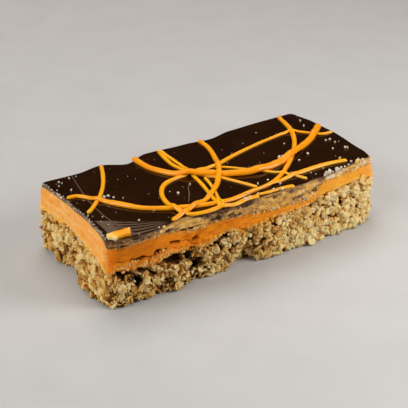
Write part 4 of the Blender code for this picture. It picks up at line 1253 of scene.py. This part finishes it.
def chocolate_finish(colour):
    """Tempered dark chocolate: a mirror on top, with a pale bloom along the cut edges and
    streaks of filling and brown crumb dragged over the front side."""
    look = Finish("chocolate_finish")
    red, green, blue = colour
    matt = look.attribute("matt")
    cloud = look.noise(11 * MM, detail=3)
    base = look.ramp(cloud, (0.35, colour), (0.7, (red * 1.5, green * 1.6, blue * 1.6)))
    streak = look.noise(1.1 * MM, detail=6, roughness=0.7, stretch=(0.4, 0.4, 1.3))
    fine = look.noise(0.7 * MM, detail=5, roughness=0.7)
    broken = look.ramp(fine, (0.35, (0.016, 0.008, 0.004)), (0.55, (0.045, 0.027, 0.016)),
                       (0.7, (0.13, 0.085, 0.055)))
    base = look.mix(matt, base, broken)
    _, middle = look.pieces(1.0 * MM, 0.7)
    broad = look.noise(1.7 * MM, detail=6, roughness=0.7, stretch=(0.6, 0.6, 1.2))
    shades = look.ramp(look.tint((fine, 0.07), (broad, 0.20)), *SMEAR_SHADES)
    lumps = look.noise(1.3 * MM, detail=5, roughness=0.65, stretch=(0.6, 0.6, 1.2))
    shades = look.over(shades, "smear", lumps, 0.52, 0.64, (0.50, 0.27, 0.11))
    smeared = look.over(base, "smear", streak, 0.26, 0.36, shades)
    patchy = look.span(look.noise(2.4 * MM, detail=4), 0.38, 0.58, 0.45, 1.0)
    bloom = look.product(look.product(look.attribute("bloom"), patchy), look.span(fine, 0.40, 0.56))
    shade = look.mix(bloom, smeared, (0.56, 0.45, 0.35))
    normal = look.bump(look.product(middle, look.attribute("smear")), -0.2 * MM)
    normal = look.bump(look.product(fine, matt), 0.16 * MM, normal)
    look.set(Base_Color=shade, Roughness=look.span(matt, 0, 0.8, 0.045, 0.85), Normal=normal)
    return look.set(Specular_IOR_Level=0.36)


# A cord's step along it and the corners of its section.
CORD_STEP = 0.28 * MM
CORD_SIDES = 14


def smooth_path(points):
    """A Catmull-Rom curve through points in mm, read again at an even step."""
    points = np.array(points) * MM
    ends = np.vstack([2 * points[0] - points[1], points, 2 * points[-1] - points[-2]])
    t = np.linspace(0, 1, 40, endpoint=False)[:, None]
    spans = [0.5 * (2 * b + (c - a) * t + (2 * a - 5 * b + 4 * c - d) * t ** 2
                    + (3 * b - a - 3 * c + d) * t ** 3)
             for a, b, c, d in zip(ends, ends[1:], ends[2:], ends[3:])]
    fine = np.vstack([*spans, points[-1:]])
    reach = np.concatenate([[0], np.cumsum(np.linalg.norm(np.diff(fine, axis=0), axis=1))])
    even = np.linspace(0, reach[-1], int(round(reach[-1] / CORD_STEP)) + 1)
    return np.column_stack([np.interp(even, reach, fine[:, axis]) for axis in range(2)])


def cord(path, width, height_share, laid, seed):
    """A cord lying on the top, as rings of a flattened round section: its width swells and thins
    with noise, its ends draw in to a round tip, and it climbs over the cords laid before it."""
    heading = np.gradient(path, axis=0)
    heading /= np.linalg.norm(heading, axis=1)[:, None]
    across = np.column_stack([-heading[:, 1], heading[:, 0]])
    line = np.column_stack([path, np.zeros(len(path))])
    swell = 1 + 0.10 * value_noise(line, 7 * MM, seed) + 0.045 * value_noise(line, 1.9 * MM, seed + 1)
    travel = np.arange(len(path)) * CORD_STEP
    width = np.interp(travel, np.linspace(0, travel[-1], len(width)), np.array(width) * MM)
    to_end = np.clip(np.minimum(travel, travel[::-1]) / (0.55 * width), 0, 1)
    half = 0.5 * width * swell * np.sqrt(np.clip(1 - (1 - to_end) ** 2, 0.02, 1))
    height = 2 * half * height_share
    lift = np.zeros(len(path))
    for other_path, other_top, other_half in laid:
        gap = np.linalg.norm(path[:, None] - other_path[None], axis=2)
        reach = 1.1 * other_half[None] + 0.9 * half[:, None]
        over = np.clip(1 - (gap / reach) ** 2, 0, 1) ** 0.7
        lift = np.maximum(lift, (over * other_top[None] * 0.85).max(axis=1))
    kernel = np.hanning(19) / np.hanning(19).sum()
    lift = np.convolve(np.pad(lift, 9, mode="edge"), kernel, mode="valid")
    angle = np.linspace(0, 2 * np.pi, CORD_SIDES, endpoint=False)
    rise = np.where(np.sin(angle) > 0, np.sin(angle), 0.30 * np.sin(angle))
    flat = path[:, None] + across[:, None] * (half[:, None] * np.cos(angle))[:, :, None]
    level = (top_level(line) + lift)[:, None] + height[:, None] * (0.16 + 0.84 * rise)
    rings = np.concatenate([flat, level[:, :, None]], axis=2)
    return rings, (path[::4], (lift + height)[::4], half[::4])


# Crumbs in the smears of the sheet's front.
SMEARED_COUNT = 1000


def smeared_crumbs(random, bar):
    """Crumbs pressed into the smears of the sheet's front, from just under its foot up to the
    edge, in the smears' colours, and pale where the edge is frosted. Their columns are drawn by
    how thickly they lie times how deep the side is there."""
    near_front = np.flatnonzero(bar.share["front"] > 0.3)
    depth = HEIGHT - bar.chocolate_low[near_front]
    amount = read_share(SMEAR_CRUMBS, bar.points[near_front, 0]) * depth
    column = random.choice(near_front, SMEARED_COUNT, p=amount / amount.sum())
    share = random.uniform(-0.15, 1, SMEARED_COUNT)
    height = bar.chocolate_low[column] * (1 - share) + (HEIGHT - 0.45 * MM) * share
    away = bar.top[column] + random.uniform(-0.3, 0.1, SMEARED_COUNT) * MM - 0.3 * MM * (share > 0.8)
    spots = bar.spots(column, away, height)
    tint, _ = side_patches(spots, np.ones(SMEARED_COUNT))
    tint += random.normal(0, 0.15, SMEARED_COUNT) + 0.15 * (share < 0.05)
    broad = np.clip(np.exp(random.normal(-0.1, 0.35, SMEARED_COUNT)), 0.4, 1.8)
    frosted = inside(spots[:, 0], FROSTED_SIDE) & (share > random.uniform(0.2, 0.9, SMEARED_COUNT))
    tints = np.where(frosted, random.uniform(0.78, 1, SMEARED_COUNT), np.clip(tint, 0, 1))
    return crumbs("smeared_crumbs", random, spots, (broad + 0.2 * frosted) * MM, tints,
                  bar.facing(column), 0.4, 0.5)


class FLAPJACK_OT_chocolate(bpy.types.Operator):
    """Build the dark chocolate sheet, its fold line and the crumbs smeared on its front edge."""

    bl_idname = "flapjack.chocolate"
    bl_label = "Chocolate sheet"

    def execute(self, context):
        sheet, bar = chocolate_shell()
        look = chocolate_finish(tuple(context.scene.flapjack_colours.chocolate))
        declare(sheet, look, "chocolate_topping")
        cords = [cord(smooth_path(points), width, 0.30, [], 97)[0] for width, points in CHOCOLATE_LINES]
        lines = joined("chocolate_lines", cords, [np.full(len(rings), 0.5) for rings in cords])
        look = tinted_finish("chocolate_lines_finish", 0.45, (0.0, (0.10, 0.06, 0.04)),
                             (1.0, (0.16, 0.11, 0.08)))
        declare(lines, look)
        smears = smeared_crumbs(np.random.default_rng(SMEAR_SEED), bar)
        look = tinted_finish("smeared_crumbs_finish", 0.7, *SMEAR_SHADES)
        declare(smears, look)
        return {"FINISHED"}


def drizzle_finish(colour):
    """Orange drizzle: satin and slightly see-through, thin lines yellower than thick ones."""
    look = Finish("drizzle_finish")
    red, green, blue = colour
    factor = look.tint((look.noise(3 * MM, detail=3), 0.12))
    shades = look.ramp(factor, (0.0, (red, green * 0.82, blue)), (0.4, colour),
                       (0.75, (red * 0.92, green * 1.22, blue * 5)), (1.0, (0.97, 0.80, 0.42)))
    normal = look.bump(look.noise(0.6 * MM, detail=3), 0.05 * MM)
    look.set(Base_Color=shades, Roughness=0.30, Normal=normal)
    return look.set(Subsurface_Weight=0.25, Subsurface_Scale=1.2 * MM, Specular_IOR_Level=0.5,
                    Subsurface_Radius=(1.0, 0.4, 0.1))


# The broken piece's rows: height over the sheet in mm, and scale.
CHUNK_ROWS = ((-0.3, 0.98), (0.5, 1.0), (0.95, 1.0), (1.12, 0.98), (1.17, 0.93), (1.18, 0.5))


def chunk_rings():
    """The broken piece near the left corner: its outline carried up in rows with a tilted,
    slightly wavy top and crisp edges."""
    corners = np.array(CHUNK_OUTLINE) * MM
    share = np.linspace(0, 1, 12, endpoint=False)[:, None]
    loop = np.vstack([a * (1 - share) + b * share
                      for a, b in zip(corners, np.roll(corners, -1, axis=0))])[::-1]
    middle = loop.mean(axis=0)
    wobble = value_noise(np.column_stack([loop, loop[:, 0] * 0]), 1.2 * MM, 91) * 0.16 * MM
    loop = loop + (loop - middle) / np.linalg.norm(loop - middle, axis=1)[:, None] * wobble[:, None]
    rows = []
    for level, scale in CHUNK_ROWS:
        ring = middle + (loop - middle) * scale
        tilt = (ring[:, 0] - middle[0]) * 0.05 * (level > 0)
        rows.append(np.column_stack([ring, HEIGHT + level * MM + tilt]))
    return np.stack(rows)


def drizzle_chunk():
    """The broken piece as one closed surface, pale at its broken ends and a little paler on its
    sides."""
    vertices, faces = rings_with_poles(chunk_rings())
    chunk = new_object("drizzle_chunk", vertices, faces)
    x, _, z = vertices.T
    ends = between(x, -53 * MM, -54.5 * MM) + (x > -48.9 * MM)
    add_attribute(chunk, "tint", np.clip(0.05 + 0.82 * ends + 0.2 * (z < HEIGHT + 0.7 * MM), 0, 1))
    return chunk


class FLAPJACK_OT_drizzle(bpy.types.Operator):
    """Lay the drizzle lines over each other on the chocolate, with the broken piece beside them."""

    bl_idname = "flapjack.drizzle"
    bl_label = "Drizzle"

    def execute(self, context):
        height_share = context.scene.flapjack_sizes.drizzle_height
        look = drizzle_finish(tuple(context.scene.flapjack_colours.drizzle))
        laid, cords, tints = [], [], []
        for index, (width, points) in enumerate(DRIZZLE):
            rings, profile = cord(smooth_path(points), width, height_share, laid, 80 + 3 * index)
            laid.append(profile)
            cords.append(rings)
            steps = np.arange(len(rings))
            to_end = np.minimum(steps, steps[::-1]) * CORD_STEP
            thin = np.clip((2.3 - np.mean(width)) * 0.6, 0, 0.6)
            tints.append(thin + 0.25 * bell(to_end / (0.6 * MM)))
        lines = joined("drizzle_lines", cords, tints)
        declare(lines, look, "chocolate_topping")
        declare(drizzle_chunk(), look, "chocolate_topping")
        return {"FINISHED"}


# Specks along the top's left edge.
EDGE_SPECKS = 90


def fine_places(random, count):
    """Places of the fine crumbs: anywhere on the top or near its front edge, with which of them
    lie where the edge is frosted."""
    along = random.uniform(-55 * MM, 57 * MM, count)
    near_edge = front_edge(along) + np.abs(random.normal(0, 2.2 * MM, count)) + 0.7 * MM
    anywhere = random.uniform(-24 * MM, 22 * MM, count)
    frosted = inside(along, FROSTED_TOP)
    at_front = random.uniform(0, 1, count) < 0.25 + 0.5 * frosted
    at_edge = front_edge(along) + random.uniform(0, 1.8, count) * MM
    across = np.where(at_front, np.where(frosted, at_edge, near_edge), anywhere)
    return np.column_stack([along, across]), frosted & at_front


def speck_places(random):
    """Places of the specks along the top's left edge."""
    across = random.uniform(-24 * MM, 24 * MM, EDGE_SPECKS)
    inwards = random.uniform(0.0, 0.9, EDGE_SPECKS) * MM
    return np.column_stack([-LENGTH / 2 - read_table(TOP["left"], across) + inwards, across])


def pale_crumbs(random, fine_count):
    """The crumbs on the top, their middles 0.3 of their size above it: the listed ones, the
    golden ones in the lowest tint, those stuck on the drizzle in the highest, then the fine ones
    and the specks."""
    stuck = np.array(STUCK_CRUMBS) * MM
    listed = np.vstack([np.array(CRUMBS + GOLDEN_CRUMBS) * MM, stuck[:, :3]])
    golden_ones = slice(len(CRUMBS), len(listed) - len(stuck))
    stuck_ones = slice(len(listed) - len(stuck), len(listed))
    fine, frosted = fine_places(random, fine_count)
    places = np.vstack([listed[:, :2], fine, speck_places(random)])
    fine_sizes = random.uniform(0.15, 0.45, fine_count) + 0.45 * frosted
    speck_sizes = random.uniform(0.15, 0.5, EDGE_SPECKS)
    sizes = np.concatenate([listed[:, 2], fine_sizes * MM, speck_sizes * MM])
    level = top_level(np.column_stack([places, np.zeros(len(places))]))
    level[stuck_ones] += stuck[:, 3]
    tints = random.uniform(0.12, 1, len(sizes))
    tints[golden_ones] = 0
    tints[stuck_ones] = 1
    tints[-EDGE_SPECKS:] *= 0.45
    spots = np.column_stack([places, level + 0.3 * sizes])
    return crumbs("pale_crumbs", random, spots, sizes, tints)


class FLAPJACK_OT_crumbs(bpy.types.Operator):
    """Scatter the pale crumbs on the chocolate: the larger ones one by one, then fine ones."""

    bl_idname = "flapjack.crumbs"
    bl_label = "Crumbs"

    def execute(self, context):
        random = np.random.default_rng(CRUMBS_SEED)
        piece = pale_crumbs(random, context.scene.flapjack_sizes.dust_count)
        look = tinted_finish("pale_crumbs_finish", 0.5, (0.0, (0.86, 0.60, 0.20)),
                             (0.12, (0.46, 0.36, 0.24)), (0.4, (0.64, 0.56, 0.46)),
                             (1.0, (0.80, 0.75, 0.68)))
        declare(piece, look)
        return {"FINISHED"}


# Where the bar is looked at from: direction from the aim point in degrees, distance and aim
# point in metres, lens in mm and the nearest distance that shows.
CAMERA_AZIMUTH = -33.46
CAMERA_ELEVATION = 28.36
CAMERA_DISTANCE = 0.4116
CAMERA_AIM = (-0.00322, -0.001, 0.01326)
CAMERA_LENS = 96.5
CAMERA_CLIP = 0.01

# Soft lights: name, place, width and height, power in watts, colour, whether they show as
# highlights, and the one piece whose highlights they make, where that is all they do.
WARM_WHITE = (1.0, 0.965, 0.92)
CREAM = (1.0, 0.90, 0.62)
WARM_ORANGE = (1.0, 0.66, 0.44)
SOFTBOXES = (
    ("left_softbox", (-0.62, 0.05, 0.38), (0.75, 0.60), 4.1, WARM_WHITE, False, None),
    ("left_glint", (-0.50, 0.03, 0.50), (0.18, 0.18), 2.8, CREAM, True, "drizzle_lines"),
    ("front_softbox", (0.24, -0.25, 0.22), (0.18, 0.18), 1.15, WARM_WHITE, True, None),
    ("top_softbox", (0.08, 0.30, 0.75), (0.50, 0.50), 3.1, WARM_WHITE, False, None),
    ("rear_panel", (0.471, 0.775, 0.790), (0.90, 0.37), 1.8, WARM_ORANGE, True, None),
)
LIGHTS_AIM = (0, 0, 0.015)
WORLD_STRENGTH = 0.02
FLOOR_HALF = 3.0


def aim(thing, place, target):
    """Set a camera or light at a place, looking at a target."""
    thing.location = place
    thing.rotation_euler = (Vector(target) - Vector(place)).to_track_quat("-Z", "Y").to_euler()


def pale_floor():
    """A large level square under the bar in matt pale grey."""
    square = np.array([[-1, -1, 0], [1, -1, 0], [1, 1, 0], [-1, 1, 0]]) * FLOOR_HALF
    floor = new_object("floor", square, np.array([[0, 1, 2, 3]]), smooth=False)
    look = Finish("floor_finish")
    shades = look.ramp(look.noise(0.02, detail=3), (0.3, (0.52, 0.53, 0.54)), (0.7, (0.55, 0.56, 0.57)))
    look.set(Base_Color=shades, Roughness=0.8)
    floor.data.materials.append(look.material)
    return floor


def softbox(name, place, size, power, colour, shown, only):
    """A soft light; one with a piece of its own adds nothing but highlights, and to that alone."""
    data = bpy.data.lights.new(name, "AREA")
    data.shape = "RECTANGLE"
    data.size, data.size_y = size
    data.energy = power
    data.color = colour
    lamp = bpy.data.objects.new(name, data)
    lamp.visible_glossy = shown
    if only:
        lamp.visible_diffuse = False
        lit = bpy.data.collections.new(name + "_lit")
        lit.objects.link(bpy.data.objects[only])
        lamp.light_linking.receiver_collection = lit
    bpy.context.scene.collection.objects.link(lamp)
    aim(lamp, place, LIGHTS_AIM)


def dim_world():
    """A faint even light from all round."""
    world = bpy.data.worlds.new("studio")
    world.use_nodes = True
    background = world.node_tree.nodes["Background"]
    background.inputs["Color"].default_value = (1, 1, 1, 1)
    background.inputs["Strength"].default_value = WORLD_STRENGTH
    return world


def front_camera():
    """The camera, back from its aim point by the distance along the azimuth and elevation."""
    data = bpy.data.cameras.new("camera")
    data.lens = CAMERA_LENS
    data.clip_start = CAMERA_CLIP
    camera = bpy.data.objects.new("camera", data)
    bpy.context.scene.collection.objects.link(camera)
    azimuth, elevation = math.radians(CAMERA_AZIMUTH), math.radians(CAMERA_ELEVATION)
    back = Vector((math.sin(azimuth) * math.cos(elevation),
                   -math.cos(azimuth) * math.cos(elevation), math.sin(elevation)))
    aim(camera, Vector(CAMERA_AIM) + back * CAMERA_DISTANCE, CAMERA_AIM)
    return camera


class FLAPJACK_OT_stage(bpy.types.Operator):
    """Set the pale floor, the soft lights and the camera."""

    bl_idname = "flapjack.stage"
    bl_label = "Floor, lights and camera"

    def execute(self, context):
        floor = pale_floor()
        for light in SOFTBOXES:
            softbox(*light)
        context.scene.world = dim_world()
        context.scene.view_settings.view_transform = "Standard"
        bpy.context.scene.camera = front_camera()
        return {"FINISHED"}


OPERATORS = (FLAPJACK_OT_oats, FLAPJACK_OT_orange, FLAPJACK_OT_chocolate, FLAPJACK_OT_drizzle,
             FLAPJACK_OT_crumbs, FLAPJACK_OT_stage)


class FLAPJACK_PT_sidebar(bpy.types.Panel):
    """The flapjack's pieces in the 3D view's sidebar."""

    bl_idname = "FLAPJACK_PT_sidebar"
    bl_label = "Flapjack"
    bl_space_type = "VIEW_3D"
    bl_region_type = "UI"
    bl_category = "Flapjack"

    def draw(self, context):
        for group in (context.scene.flapjack_sizes, context.scene.flapjack_colours):
            for name in group.bl_rna.properties.keys():
                if name not in ("rna_type", "name"):
                    self.layout.prop(group, name)
        for operator in OPERATORS:
            self.layout.operator(operator.bl_idname)


CLASSES = (FlapjackSizes, FlapjackColours, *OPERATORS, FLAPJACK_PT_sidebar)


def register():
    """Add the classes and hang the two groups of properties on the scene."""
    for part in CLASSES:
        bpy.utils.register_class(part)
    bpy.types.Scene.flapjack_sizes = bpy.props.PointerProperty(type=FlapjackSizes)
    bpy.types.Scene.flapjack_colours = bpy.props.PointerProperty(type=FlapjackColours)


def unregister():
    """Take the properties and classes away again."""
    del bpy.types.Scene.flapjack_colours
    del bpy.types.Scene.flapjack_sizes
    for part in reversed(CLASSES):
        bpy.utils.unregister_class(part)


def main():
    register()
    bpy.ops.flapjack.oats()
    bpy.ops.flapjack.orange()
    bpy.ops.flapjack.chocolate()
    bpy.ops.flapjack.drizzle()
    bpy.ops.flapjack.crumbs()
    bpy.ops.flapjack.stage()


if __name__ == "__main__":
    main()
